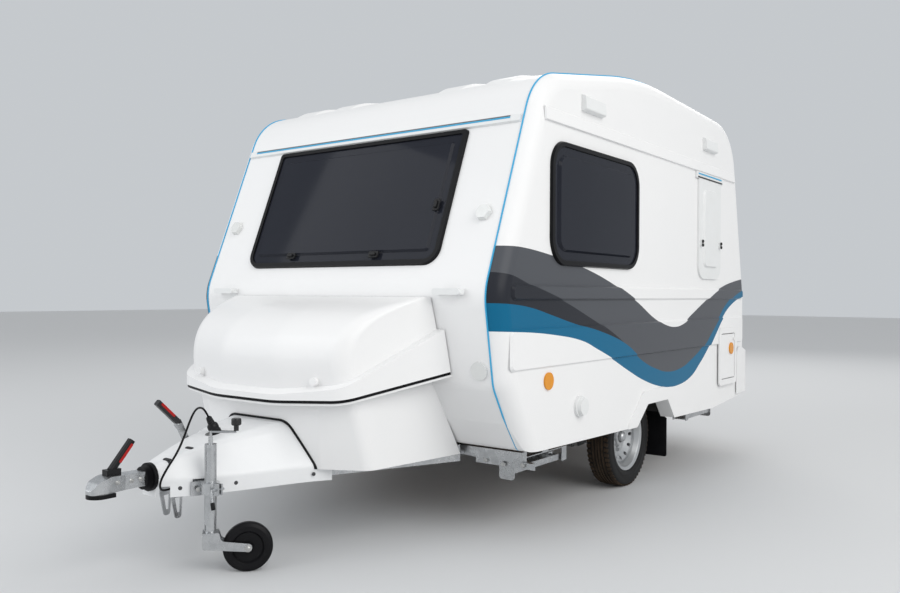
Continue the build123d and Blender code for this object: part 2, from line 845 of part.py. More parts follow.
def build_coupling():
    """Pressed coupling head with its ball socket, and the black nose buffer round its mouth."""
    ball_r = 25.2
    head = coupling_form()
    head = head - Pos(0, ball_y, 372) * Sphere(ball_r) - Pos(0, ball_y, 340) * Cylinder(ball_r, 64)
    head = head - Pos(0, -1080, tube_z) * Rot(90, 0, 0) * Cylinder(25 + seat, 100)
    head = head - block(-22, 22, -1180, -1000, 340, 380)
    mouth = Pos(0, ball_y, head_low - 8 - seat) * (Cylinder(48, 16) - Cylinder(34, 30))
    sides = block(-48, -34, ball_y, -1180, head_low - 16 - seat, head_low - seat)
    mouth = mouth & block(-60, 60, coupling_tip, ball_y, 300, 400)
    return head, mouth + sides + mirror(sides, about=Plane.YZ)


def build_coupling_handle():
    """Coupling handle: a pressed lever with its grip, leaning back."""
    base = block(-17, 17, -1200, -1140, 410, 446) - Pos(0, 0, seat) * coupling_form()
    path = Line((0, -1174, 440), (0, -1086, 546))
    lie = Plane(origin=path @ 0, x_dir=(1, 0, 0), z_dir=path % 0)
    grip = sweep(lie * outline([(-14, -13, 8), (14, -13, 8), (14, 13, 8), (-14, 13, 8)]), path=path)
    return base + grip


def build_bellows():
    """Rubber bellows over the coupling tube, with the wide ring that closes the cover's nose."""
    start = -1043
    pitch = 6.6
    rows = [(26, start, 0)]
    for i in range(4):
        y = start + i * pitch
        rows.append((41 + i, y + 0.1, 0))
        rows.append((46 + i, y + pitch * 0.45, 0))
        rows.append((40 + i, y + pitch * 0.9, 0))
    rows.append((57, -1016, 0))
    rows.append((57, -1000.5, 0))
    rows.append((26, -1000.5, 0))
    profile = make_face(Polyline(*[(x, y) for x, y, r in rows], close=True))
    return Pos(0, 0, tube_z) * revolve(profile, Axis.Y)


def build_brake_lever():
    """Handbrake lever with its grip and the gas strut behind it."""
    x = lever_x
    lever = sweep(
        Plane(origin=(x, -722, 425), x_dir=(1, 0, 0), z_dir=(0, -79, 153)) * Rectangle(10, 30),
        path=Line((x, -722, 425), (x, -801, 578)),
    )
    pivot = rod((x, -725, 424), (-housing_half - seat, -725, 424), 8)
    grip_line = Line((x, -796, 570), (x, -900, 668))
    lie = Plane(origin=grip_line @ 0, x_dir=(1, 0, 0), z_dir=grip_line % 0)
    section = outline([(-14, -13, 7), (14, -13, 7), (14, 13, 7), (-14, 13, 7)])
    grip = sweep(lie * section, path=grip_line)
    strut = rod((x - 26, -700, 455), (x - 26, -790, 560), 10)
    pin = rod((x - 36, -786, 556), (x + 4, -786, 556), 6)
    return lever + grip + pin + strut + pivot


# Jockey wheel


tube_low = 175
tube_top = 522
fork_top = tube_low - clear


def build_jockey_clamp():
    """Clamp on the left drawbar rail that grips the jockey tube, with its handle."""
    z = 345
    ring = Cylinder(jockey_tube_r + 12, 46) - Cylinder(jockey_tube_r + running, 50)
    ring = Pos(jockey_x, jockey_y, z) * ring
    ears = block(jockey_x + 30, jockey_x + 62, jockey_y - 13, jockey_y - 5, z - 23, z + 23)
    ears = ears + block(jockey_x + 30, jockey_x + 62, jockey_y + 5, jockey_y + 13, z - 23, z + 23)
    spread = (drawbar_rear[0] - drawbar_front[0]) / (drawbar_rear[1] - drawbar_front[1])
    rail_mid = drawbar_front[0] + spread * (jockey_y - drawbar_front[1])
    rail_face = rail_mid + draw_w / 2 / cos(atan2(spread, 1)) + 12 * spread + seat
    arm = block(rail_face, jockey_x - 30, jockey_y - 12, jockey_y + 12, z - 23, z + 23)
    (y0, top0, w0, foot0, z0), (y1, top1, w1, foot1, z1) = cover_sections[1:3]
    flare = (foot1 - foot0) / (y1 - y0)
    beside = foot0 + flare * (jockey_y - y0) + 8
    plate = Pos(beside, jockey_y, z - 8) * Rot(0, 0, -degrees(atan2(flare, 1))) * Box(6, 92, 58)
    handle = rod((jockey_x + 52, jockey_y - 40, z), (jockey_x + 52, jockey_y + 24, z), 5)
    turned = rod((jockey_x + 52, jockey_y - 38, z + 4), (jockey_x + 66, jockey_y - 38, z - 62), 6)
    return ring + ears + arm + plate + handle + turned


def build_jockey_tube():
    """Outer tube with its top cap, spindle and crank."""
    tube = Pos(jockey_x, jockey_y, (tube_low + tube_top) / 2) * Cylinder(jockey_tube_r, tube_top - tube_low)
    bore = Pos(jockey_x, jockey_y, (tube_low + tube_top) / 2 - 12) * Cylinder(
        jockey_tube_r - 3, tube_top - tube_low
    )
    notch = block(jockey_x - 4, jockey_x + 4, jockey_y - 40, jockey_y, tube_low - 10, tube_low + 24)
    tube = tube - bore - notch
    nut = Pos(jockey_x, jockey_y, tube_top + 14) * Cylinder(9, 28)
    riser = rod((jockey_x, jockey_y, tube_top + 20), (jockey_x, jockey_y, 576), 5)
    reach = (jockey_x + 84, jockey_y + 60)
    arm = rod((jockey_x, jockey_y, 571), (reach[0], reach[1], 571), 5)
    joint = Pos(jockey_x, jockey_y, 571) * Sphere(5.5)
    return tube + nut + riser + joint + arm


def build_crank_knob():
    """Black knob on the crank."""
    x, y = jockey_x + 84, jockey_y + 60
    neck = Pos(x, y, 587) * Cylinder(10, 22)
    head = Pos(x, y, 612) * Cylinder(20, 30)
    return neck + fillet(head.edges(), 7)


inner_r = jockey_tube_r - 3 - running


def build_jockey_inner():
    """Inner tube, closed below by the flange that the fork turns on."""
    low = fork_top - 34
    inner = Pos(jockey_x, jockey_y, (low + 442) / 2) * Cylinder(inner_r, 442 - low)
    return inner + Pos(jockey_x, jockey_y, fork_top - 21) * Cylinder(inner_r + 4, 6)


def build_jockey_fork():
    """Fork that turns on the inner tube and carries the wheel between two flat arms."""
    place = Pos(jockey_x, jockey_y, 0) * Rot(0, 0, jockey_swivel)
    fork = block(-30, 34, -32, 32, fork_top - 40, fork_top)
    fork = fork - block(-30, 60, -27, 27, 90, fork_top - 8)
    fork = fork - Pos(0, 0, fork_top) * Cylinder(inner_r + running, 60)
    low, high = jockey_r - 16, jockey_r + 16
    rows = [
        (-30, 104, 10),
        (-30, fork_top, 0),
        (34, fork_top, 8),
        (44, 134, 20),
        (jockey_trail + 16, high, 15),
        (jockey_trail + 16, low, 15),
        (30, 98, 20),
    ]
    for side in (-1, 1):
        fork = fork + extrude(Plane.XZ.offset(-side * 29.5) * outline(rows), amount=2.5, both=True)
    pin = Pos(jockey_trail, 0, jockey_r) * Rot(90, 0, 0) * Cylinder(8, 68)
    return place * (fork + pin)


def build_jockey_wheel():
    """Jockey wheel: rubber tyre on a moulded hub, turned to its fork."""
    width = 42
    bore = 8 + running
    rows = [(bore, -21, 0), (20, -21, 0), (24, -12, 0), (58, -12, 0), (64, -20, 0)]
    rows = rows + [(x, -y, r) for x, y, r in reversed(rows)]
    hub = revolve(make_face(Polyline(*[(x, y) for x, y, r in rows], close=True)), Axis.Y)
    half = [(64.3, -20, 2), (84, -width / 2, 8), (jockey_r, -14, 10)]
    tyre_rows = half + [(x, -y, r) for x, y, r in reversed(half)]
    tyre = revolve(outline(tyre_rows), Axis.Y)
    place = Pos(jockey_x, jockey_y, 0) * Rot(0, 0, jockey_swivel) * Pos(jockey_trail, 0, jockey_r)
    return place * hub, place * tyre


# Cable and plug

cable_r = 4.5
cable_route = [
    (52, -900, 338),
    (62, -955, 336),
    (80, -1008, 342),
    (106, -1030, 384),
    (118, -1002, 440),
    (108, -950, 490),
    (90, -905, 548),
    (64, -862, 598),
    (40, -822, 634),
    (18, -782, 646),
    (4, -742, 632),
    (0, -720, 596),
]


def build_cable():
    """Towing cable: straight runs joined by tangent arcs, from the nose to the parked plug."""
    points = [Vector(*p) for p in cable_route]
    radii = []
    for a, b, c in zip(points, points[1:], points[2:]):
        turn = radians((b - a).get_angle(c - b))
        radii.append(0.45 * min((b - a).length, (c - b).length) / tan(turn / 2))
    print("cable radii", [round(r) for r in radii])
    path = FilletPolyline(*points, radius=radii)
    tube = sweep(Plane(origin=path @ 0, z_dir=path % 0) * Circle(cable_r), path=path)
    section = 3.14159 * cable_r**2
    print("cable length", round(path.length, 1), "by volume", round(tube.volume / section, 1))
    return tube


def build_plug():
    """Towing plug parked upright in its holder."""
    axis = (Vector(*cable_route[-1]) - Vector(*cable_route[-2])).normalized()
    start = Vector(*cable_route[-1]) + axis * seat
    rows = [(0, 0, 0), (9, 0, 0), (12, 34, 0), (12, 40, 0), (22, 44, 0), (24, 76, 0), (0, 76, 0)]
    profile = make_face(Polyline(*[(x, y) for x, y, r in rows], close=True))
    plug = revolve(Plane.XZ * profile, Axis.Z)
    return Plane(origin=start, z_dir=axis) * plug, start + axis * 76, axis


def build_holder(end, axis):
    """Holder for the parked plug: a dish on a foot inside the cover."""
    lie = Plane(origin=end + axis * seat, z_dir=axis)
    dish = lie * (Pos(0, 0, 5) * Cylinder(26, 10))
    foot = block(-9, 9, end.Y - 2, end.Y + 17, 440 + seat, end.Z - 4)
    return dish + foot


# Chassis under the floor


member_d = 45                 # depth of the front cross member along y
member_h = 46
flap_y = wheel_y + 376


def build_frame_rails():
    """Long chassis rails, channels open inwards."""
    z0 = rail_top - rail_h
    start = rail_front + member_d + seat
    x = rail_x + rail_w / 2
    rail = block(x - rail_w, x, start, rail_rear, z0, rail_top)
    rail = rail - block(x - 2 * rail_w, x - 4, start - 5, rail_rear + 5, z0 + 4, rail_top - 4)
    return both_sides(rail)


def build_cross_members():
    """Cross members between and beyond the long rails."""
    y = rail_front
    low = rail_top - member_h
    front = block(-950, 950, y, y + member_d, low, rail_top)
    members = [front - block(-946, 946, y + 4, y + 60, low + 4, rail_top - 4)]
    inner = rail_x - rail_w / 2 - seat
    z0 = rail_top - rail_h + 10
    for y in (860, wheel_y + 614, rail_rear - 40):
        members.append(block(-inner, inner, y, y + 40, z0, rail_top - 4))
    return members


def build_outriggers():
    """Short cross tubes outside the long rails that stiffen the floor over the steadies."""
    tubes = []
    for y in (flap_y + 5 + seat, rail_rear - 240):
        inner = rail_x + rail_w / 2 + seat
        tubes += both_sides(block(inner, 900, y, y + 40, rail_top - 44, rail_top))
    return tubes


def build_mud_flaps():
    """Rubber flaps hung on the outriggers behind the wheels."""
    rows = [(760, 123, 12), (957, 123, 12), (957, 363, 4), (900, rail_top, 0), (760, rail_top, 0)]
    flap = extrude(Plane.XZ.offset(-flap_y) * outline(rows), amount=-5)
    return both_sides(flap)


def build_axle():
    """Six-sided axle tube with its brackets to the long rails."""
    face = Pos(axle_y, axle_z) * RegularPolygon(50, 6, rotation=30)
    tube = extrude(Plane.YZ.offset(-axle_half) * face, amount=2 * axle_half)
    for side in (1, -1):
        x = side * rail_x
        plate = block(x - 22, x + 22, axle_y - 75, axle_y + 75, axle_z, rail_top - rail_h - seat)
        tube = tube + plate
    return tube


def build_arms():
    """Trailing arms from the axle tube to the hubs, with their stub axles."""
    arms = []
    for side in (1, -1):
        x0, x1 = 606, 640
        rows = [
            (axle_y - 45, axle_z - 38, 30),
            (axle_y - 45, axle_z + 42, 30),
            (wheel_y + 40, tyre_r + 40, 30),
            (wheel_y + 40, tyre_r - 40, 30),
        ]
        plane = Plane(origin=(x0, 0, 0), x_dir=(0, 1, 0), z_dir=(1, 0, 0))
        arm = extrude(plane * outline(rows), amount=x1 - x0)
        arm = arm + rod((axle_half + seat, axle_y, axle_z), (x0 + 2, axle_y, axle_z), 34)
        arm = arm + rod((x1 - 2, wheel_y, tyre_r), (wheel_x - 30, wheel_y, tyre_r), 17)
        arms.append(arm if side > 0 else mirror(arm, about=Plane.YZ))
    return arms


def build_brake_plates():
    """Brake drums' back plates, fixed to the arms."""
    plates = []
    for side in (1, -1):
        plate = Cylinder(112, 12) - Cylinder(17 + seat, 20)
        plates.append(Pos(side * 656, wheel_y, tyre_r) * Rot(0, 90, 0) * plate)
    return plates


def wheel_pieces(side):
    """Steel wheel with its drum, and tyre, of one side; radius against distance outwards."""
    w = rim_w / 2
    half_rim = [
        (rim_r - 24, w - 36, 6),
        (rim_r - 10, w - 8, 4),
        (rim_r + 10, w, 2),
        (rim_r + 12, w - 6, 2),
        (rim_r - 4, w - 12, 4),
        (rim_r - 18, w - 34, 6),
    ]
    rim_rows = half_rim + [(x, -y, r) for x, y, r in reversed(half_rim)]
    disc_rows = [
        (34, -22, 0),
        (34, 16, 4),
        (56, 16, 4),
        (62, -6, 6),
        (96, -6, 8),
        (140, 22, 14),
        (rim_r - 22, 12, 0),
        (rim_r - 22, 4, 0),
        (142, 14, 14),
        (100, -22, 8),
    ]
    back = 670 - wheel_x
    bore = 17 + running
    drum_rows = [(bore, back, 0), (104, back, 4), (104, -70, 8), (78, -24, 8), (bore, -24, 0)]
    cap_rows = [(0, -24, 0), (30, -24, 0), (30, 30, 4), (20, 40, 6), (0, 40, 0)]

    def turned(rows):
        return revolve(Plane.XY * outline(rows), Axis.Y)

    wheel = turned(rim_rows) + turned(disc_rows)
    holes = 12
    for i in range(holes):
        hole = Rot(0, 360 * i / holes, 0) * Pos(128, 0, 0) * Rot(90, 0, 0) * Cylinder(11, 90)
        wheel = wheel - hole
    studs = 5
    drum = turned(drum_rows)
    hub = drum + turned(cap_rows)
    bolts = []
    for i in range(studs):
        bolt = Rot(0, 360 * i / studs + 18, 0) * Pos(78, 2, 0) * Rot(90, 0, 0) * Cylinder(10, 15)
        bolts.append(bolt)
    for bolt in bolts:
        wheel = wheel + bolt
    t = tyre_w / 2
    half_tyre = [
        (rim_r - 6, w - 8, 0),
        (rim_r + 14, w + 4, 8),
        (rim_r + 50, t, 30),
        (tyre_r - 14, t - 4, 16),
        (tyre_r, t - 28, 10),
    ]
    tyre_rows = half_tyre + [(x, -y, r) for x, y, r in reversed(half_tyre)]
    tyre = turned(tyre_rows) - turned(rim_rows)
    place = Pos(side * wheel_x, wheel_y, tyre_r) * Rot(0, 0, -90 * side)
    return place * wheel, place * hub, place * tyre


def build_wheel_boxes():
    """Moulded boxes over the wheels, open below, standing through the floor."""
    boxes = []
    for side in (1, -1):
        x0, x1 = 620, half_width - wall - 95
        y0, y1 = wheel_y - tyre_r - 71, wheel_y + tyre_r + 79
        top = 2 * tyre_r + 102
        outer = block(x0, half_width - wall - seat, y0, y1, 402, top)
        inner = block(x0 + 6, half_width, y0 + 6, y1 - 6, 380, top - 6)
        box = fillet(outer.edges().filter_by(Axis.X).group_by(Axis.Z)[-1], 90) - inner
        boxes.append(box if side > 0 else mirror(box, about=Plane.YZ))
    return boxes


def build_floor():
    """Cabin floor on the chassis rails, cut round the wheel boxes."""
    x = half_width - wall - 2
    rows = [(x, 345, 66), (x, body_rear - wall - 3, 66)]
    floor = extrude(Pos(0, 0, rail_top + seat) * outline(mirrored(rows)), amount=floor_t - seat)
    for side in (1, -1):
        y0, y1 = wheel_y - tyre_r - 79, wheel_y + tyre_r + 87
        hole = block(612, half_width, y0, y1, 300, 600)
        floor = floor - (hole if side > 0 else mirror(hole, about=Plane.YZ))
    return floor


# Corner steadies: name, side, pivot place, reach of the leg to its foot (along Y)
steady_x = 834
steady_z = 300
steadies = [
    ("front_left", 1, 830, -1),
    ("front_right", -1, 830, -1),
    ("rear_left", 1, body_rear - 800, 1),
    ("rear_right", -1, body_rear - 800, 1),
]
steady_length = 470


def build_steady_brackets():
    """Folded plates under the floor that carry the legs and their spindles."""
    brackets = []
    for name, side, y, reach in steadies:
        x = side * steady_x
        near, far = min(y, y + reach * 400), max(y, y + reach * 400)
        plate = block(x - 50, x + 50, near - 20, far + 20, 346, 350)
        cheeks = block(x - 46, x - 42, y - 24, y + 24, 276, 348)
        cheeks = cheeks + block(x + 42, x + 46, y - 24, y + 24, 276, 348)
        hangers = block(x - 50, x + 50, y + reach * 200 - 30, y + reach * 200 + 30, 349, rail_top)
        spindle = rod((x, y + reach * 40, 330), (x, y + reach * 498, 330), 7)
        ends = sorted((y + reach * 380, y + reach * 400))
        block_end = block(x - 12, x + 12, *ends, 318, 347)
        if reach < 0:
            low_z = rail_top - member_h - seat
            head = block(x - 165, x + 165, rail_front + 36, rail_front + 40, 318, low_z)
            head = head + block(x - 165, x + 165, rail_front + 8, rail_front + 40, low_z - 4, low_z)
            block_end = block_end + head
        hexagon = Rot(90, 0, 0) * extrude(RegularPolygon(11, 6), amount=10, both=True)
        hexagon = Pos(x, y + reach * 500, 330) * hexagon
        pin = rod((x - 46, y, 296), (x + 46, y, 296), 6)
        brackets.append(plate + cheeks + hangers + spindle + block_end + hexagon + pin)
    return brackets


def build_steady_leg(side, y, reach):
    """Pressed leg with its foot, folded up under the floor."""
    x = side * steady_x
    end = y + reach * steady_length
    low, high = min(y, end), max(y, end)
    low, high = (low - 14, high) if reach > 0 else (low, high + 14)
    leg = block(x - 34, x + 34, low, high, 282, 285)
    for offset_x in (-34, 31):
        leg = leg + block(x + offset_x, x + offset_x + 3, low, high, 282, 312)
    eye = Pos(x, y, 296) * Rot(0, 90, 0) * Cylinder(6 + running, 200)
    foot_rows = [(-42, 252, 16), (42, 252, 16), (42, 315, 0), (-42, 315, 0)]
    foot = extrude(Plane.XZ.offset(-end) * Pos(x, 0) * outline(foot_rows), amount=-reach * 6)
    return leg - eye + foot


# Rear


def build_bumper():
    """Moulding across the rear and round its corners."""
    low, high = skirt_z + 56, 770
    y0 = body_rear - 250
    outer = block(-half_width - 14, half_width + 14, y0, body_rear + bumper_proud, low, high)
    outer = fillet(outer.edges().filter_by(Axis.Z).group_by(Axis.Y)[-1], corner_r + 10)
    slope_rows = [
        (y0 + 20, low - 5, 0),
        (y0 + 20, high - 60, 60),
        (y0 + 70, high, 60),
        (body_rear + 80, high - 80, 0),
        (body_rear + 80, low - 5, 0),
    ]
    slope = side_view(slope_rows, half_width + 100)
    outer = outer & slope
    bumper = outer - grown_body(6.5)
    plane = Plane(origin=(0, body_rear + bumper_proud, 560), x_dir=(-1, 0, 0), z_dir=(0, 1, 0))
    for x in (-840, -720, 720, 840):
        bumper = bumper - slab(shifted(plane, x, 0), Circle(48 + 1), -12 - seat, 10)
    panel = outline([(-272, -67, 9), (272, -67, 9), (272, 67, 9), (-272, 67, 9)])
    return bumper - slab(plane, panel, -12 - seat, 10)


def grown_body(gap):
    """Outer form of the body grown by a gap, with its rounded corners."""
    face = offset(outline(shell_rows(200)), amount=gap)
    body = extrude(Plane.YZ * face, amount=half_width + gap, both=True)
    edges = [
        e
        for e in body.edges()
        if abs(abs(e.center().X) - half_width - gap) < 1 and e.center().Z > 240
    ]
    return fillet(edges, corner_r + gap)


def build_rear_lamps():
    """Round rear lamps in threes on each side of the rear moulding, and the plate panel."""
    plane = Plane(origin=(0, body_rear + bumper_proud, 560), x_dir=(-1, 0, 0), z_dir=(0, 1, 0))
    red, amber = [], []
    for side in (1, -1):
        red.append(slab(shifted(plane, side * 840, 0), Circle(48), -12, -2))
        amber.append(slab(shifted(plane, side * 720, 0), Circle(48), -12, -2))
    plate = slab(plane, outline([(-270, -65, 8), (270, -65, 8), (270, 65, 8), (-270, 65, 8)]), -12, -6)
    return red, amber, plate


# Cabin


def open_box(x0, x1, y0, y1, z0, z1, skin=15):
    """Furniture box, open below."""
    inner = block(x0 + skin, x1 - skin, y0 + skin, y1 - skin, z0 - 1, z1 - skin)
    return block(x0, x1, y0, y1, z0, z1) - inner


def build_cabin():
    """Plain furniture that shows through the glass and the open door."""
    z = rail_top + floor_t + seat
    benches = [
        open_box(-960, 960, 420, 900, z, z + 330),
        open_box(330, 960, 900 + seat, 1255, z, z + 330),
    ]
    cushion = block(-950, 950, 430, 900, z + 330 + seat, z + 430)
    table = block(-380, 380, 960, 1240, z + 640, z + 668) + rod((0, 1100, z), (0, 1100, z + 645), 28)
    middle_y = body_rear - 637
    cabinets = [
        open_box(520, 985, body_rear - 1322, middle_y, z, z + 870),
        open_box(430, 960, middle_y + seat, body_rear - 260, z + 500, z + 1400),
    ]
    worktop = block(500, 985, body_rear - 1332, middle_y, z + 870 + seat, z + 900)
    return benches, cushion, table, cabinets, worktop


def main():
    """Build every sub-part and write it."""
    os.makedirs("parts", exist_ok=True)

    # Body shell
    shell = build_shell()
    left, right = build_sides(shell)
    front, roof, rear = build_band(shell)
    front_cut, front_frame, front_pane = window_set(front_window_plane, front_window)
    rear_cut, rear_frame, rear_pane = window_set(rear_window_plane, rear_window)
    roof, hatch_base, hatch_dome = build_roof_hatch(roof)
    front = front - front_cut
    for rail in build_drawbar(5):
        front = front - rail
    write("side_shell_left", left[0])
    write("side_shell_right", [right[0]] + build_door_hinges())
    write("front_panel", front)
    write("roof_panel", roof)
    write("rear_panel", rear - rear_cut)
    write("seam_piping", build_piping())
    write("window_frames", [front_frame, left[1], right[1], rear_frame])
    write("window_panes", [front_pane, left[2], right[2], rear_pane])
    write("roof_hatch", [hatch_base, hatch_dome])

    # Trim, lids and lamps on the shell
    rails, caps = build_trim_rails()
    hatch, clips = build_hatch()
    flap_frame, flap, flap_lock, flap_locker = build_flap()
    amber, white, cap = round_pieces()
    write("trim_rails", rails)
    write("trim_rail_caps", caps)
    write("narrow_hatch", [hatch] + clips)
    write("service_flap_frame", flap_frame)
    write("service_flap", [flap, flap_lock])
    write("service_locker", flap_locker)
    write("side_vents", build_vents())
    write("side_reflectors", amber)
    write("front_lamps", build_marker_lamps() + white)
    write("filler_cap", cap)
    write("grab_handles", build_grab_handles())

    # Entry door
    leaf, window_frame, pane, handle = build_door()
    write("entry_door", leaf)
    write("door_window_pane", pane)
    write("door_fittings", [window_frame, handle])
    write("rubber_seals", [build_door_frame(), build_lid_seal(), build_passage_trim()])

    # Gas locker, drawbar and coupling
    write("locker_lid", [build_lid()] + build_lid_locks())
    write("locker_box", build_locker_box())
    write("drawbar_cover", build_cover())
    head, buffer = build_coupling()
    write("overrun_unit", build_overrun())
    write("coupling_head", head)
    write("coupling_handle", build_coupling_handle())
    write("bellows_and_buffer", [build_bellows(), buffer])
    write("handbrake_lever", build_brake_lever())
    plug, end, axis = build_plug()
    write("towing_cable", build_cable())
    write("towing_plug", plug)
    write("plug_holder", build_holder(end, axis))

    # Jockey wheel
    hub, tyre = build_jockey_wheel()
    write("jockey_clamp", build_jockey_clamp())
    write("jockey_tube", [build_jockey_tube(), build_crank_knob()])
    write("jockey_inner_tube", build_jockey_inner())
    write("jockey_fork", build_jockey_fork())
    write("jockey_wheel", [hub, tyre])

    # Chassis, axle, wheels and steadies
    frame = build_frame_rails() + build_drawbar() + build_cross_members() + build_outriggers()
    write("chassis_frame", frame)
    write("axle", [build_axle()] + build_arms() + build_brake_plates())
    for name, side in (("left", 1), ("right", -1)):
        wheel, wheel_hub, wheel_tyre = wheel_pieces(side)
        write(f"wheel_{name}", [wheel, wheel_hub])
        write(f"tyre_{name}", wheel_tyre)
    write("wheel_boxes", build_wheel_boxes())
    write("mud_flaps", build_mud_flaps())
    write("steady_brackets", build_steady_brackets())
    for name, side, y, reach in steadies:
        write(f"steady_{name}", build_steady_leg(side, y, reach))

    # Rear
    red, amber_rear, plate = build_rear_lamps()
    write("rear_bumper", [build_bumper(), plate])
    write("rear_lamps", red + amber_rear)

    # Cabin
    benches, cushion, table, cabinets, worktop = build_cabin()
    write("floor", build_floor())
    write("furniture", benches + cabinets)
    write("seat_cushion", cushion)
    write("table_and_worktop", [table, worktop])


if __name__ == "__main__":
    main()
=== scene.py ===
"""Looks of a travel caravan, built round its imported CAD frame."""

from __future__ import annotations

import json
import logging
import math
from dataclasses import dataclass
from enum import Enum
from typing import NamedTuple

import bpy
from bpy.types import Material, Node, NodeSocket, NodeTree, Object
from mathutils import Matrix, Vector

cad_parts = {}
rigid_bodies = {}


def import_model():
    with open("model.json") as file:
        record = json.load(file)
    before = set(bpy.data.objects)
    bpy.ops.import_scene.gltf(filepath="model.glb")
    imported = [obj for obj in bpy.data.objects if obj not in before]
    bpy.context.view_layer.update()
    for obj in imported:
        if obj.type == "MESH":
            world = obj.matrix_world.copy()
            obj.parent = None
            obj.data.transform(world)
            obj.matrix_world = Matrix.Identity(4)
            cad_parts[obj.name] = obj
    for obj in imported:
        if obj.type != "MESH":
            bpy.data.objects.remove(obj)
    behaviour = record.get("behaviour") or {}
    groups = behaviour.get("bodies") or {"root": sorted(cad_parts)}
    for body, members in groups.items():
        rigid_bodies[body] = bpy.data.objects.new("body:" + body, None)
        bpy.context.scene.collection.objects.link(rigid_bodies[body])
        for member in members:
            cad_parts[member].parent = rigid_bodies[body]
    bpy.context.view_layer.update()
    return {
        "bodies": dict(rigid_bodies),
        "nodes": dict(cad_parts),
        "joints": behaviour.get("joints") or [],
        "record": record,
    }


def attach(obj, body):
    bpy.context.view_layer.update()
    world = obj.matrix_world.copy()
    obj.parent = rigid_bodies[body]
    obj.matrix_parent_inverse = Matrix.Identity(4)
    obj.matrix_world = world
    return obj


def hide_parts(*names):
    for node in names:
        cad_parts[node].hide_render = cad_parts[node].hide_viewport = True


log = logging.getLogger("caravan")

Point = tuple[float, float, float]
Rows = tuple[tuple[float, float], ...]

MIDDLE = 1.063  # row-frame Y of a place is its distance behind the front knuckle, less this
HALF_WIDTH = 1.022
SKIN = 0.014  # paint goes no deeper into a side than this
CORNER_ENDS = (0.17, 3.22)  # where the front corners end and the rear ones begin
ACROSS = (1.0, 0.0, 0.0)
FORWARD = (0.0, -1.0, 0.0)
BACKWARD = (0.0, 1.0, 0.0)
UPWARD = (0.0, 0.0, 1.0)
MAIN_BODY = "caravan_body"
FLOAT = "NodeSocketFloat"
COLOUR = "NodeSocketColor"
VECTOR = "NodeSocketVector"

# Edges of the side stripes, from the top down, each named after the paint below it: metres
# behind the front knuckle and height from the ground
STRIPE_SPAN = (-0.12, 3.40)
STRIPE_HEIGHTS = (0.30, 1.50)
STRIPE_EDGES = {
    "Grey": (
        (-0.12, 1.337), (0.10, 1.343), (0.44, 1.315), (0.77, 1.264), (1.11, 1.185), (1.40, 1.094),
        (1.66, 0.992), (1.82, 0.949), (1.96, 0.937), (2.09, 0.953), (2.25, 1.008), (2.49, 1.091),
        (2.78, 1.180), (3.05, 1.228), (3.40, 1.262),
    ),
    "Dark grey": (
        (-0.12, 1.240), (0.07, 1.220), (0.26, 1.172), (0.55, 1.102), (0.78, 1.032), (1.07, 0.934),
        (1.24, 0.860), (1.50, 0.700), (1.80, 0.480), (3.40, 0.400),
    ),
    "Blue": (
        (-0.12, 1.093), (0.10, 1.087), (0.26, 1.070), (0.44, 1.035), (0.66, 0.990), (0.94, 0.941),
        (1.23, 0.868), (1.50, 0.751), (1.66, 0.703), (1.87, 0.667), (2.07, 0.676), (2.26, 0.723),
        (2.46, 0.796), (2.60, 0.878), (2.74, 0.962), (2.90, 1.062), (3.08, 1.130), (3.40, 1.196),
    ),
    "Shell": (
        (-0.12, 0.970), (0.10, 0.966), (0.46, 0.940), (0.74, 0.900), (0.90, 0.852), (1.07, 0.797),
        (1.30, 0.712), (1.50, 0.645), (1.72, 0.593), (1.87, 0.574), (2.04, 0.574), (2.23, 0.606),
        (2.39, 0.678), (2.56, 0.778), (2.71, 0.886), (2.82, 0.964), (3.02, 1.062), (3.40, 1.150),
    ),
}


# Shader helpers


def place_node(tree: NodeTree, kind: str, values: dict | None = None, **settings) -> Node:
    """Add a node, set its properties and fill its inputs.

    Args:
        tree: Tree that takes the node.
        kind: Type of the node, without ShaderNode before it.
        values: Input names or indexes, each with a value or an output socket to link.
        **settings: Properties of the node.

    Returns:
        The new node.
    """
    node = tree.nodes.new("ShaderNode" + kind)
    for name, value in settings.items():
        setattr(node, name, value)
    for name, value in (values or {}).items():
        if isinstance(value, NodeSocket):
            tree.links.new(value, node.inputs[name])
        else:
            node.inputs[name].default_value = value
    return node


def place_group(tree: NodeTree, group: NodeTree, values: dict) -> Node:
    """Place a shared effect in a tree with values of its own."""
    return place_node(tree, "Group", values, node_tree=group)


def maths(tree: NodeTree, operation: str, *values: float | NodeSocket) -> NodeSocket:
    """Give the result of one sum or test on its numbers."""
    node = place_node(tree, "Math", dict(enumerate(values)), operation=operation)
    return node.outputs[0]


def mix(
    tree: NodeTree, share: NodeSocket, low: NodeSocket, high: NodeSocket, kind: str = "RGBA"
) -> NodeSocket:
    """Give what lies between two colours or two numbers.

    Args:
        tree: Tree that takes the node.
        share: 0 for the first and 1 for the second.
        low: The first.
        high: The second.
        kind: RGBA for colours and FLOAT for numbers.

    Returns:
        The socket with the answer.
    """
    first, answer = (6, 2) if kind == "RGBA" else (2, 0)  # places of the sockets in Blender's node
    values = {0: share, first: low, first + 1: high}
    return place_node(tree, "Mix", values, data_type=kind).outputs[answer]


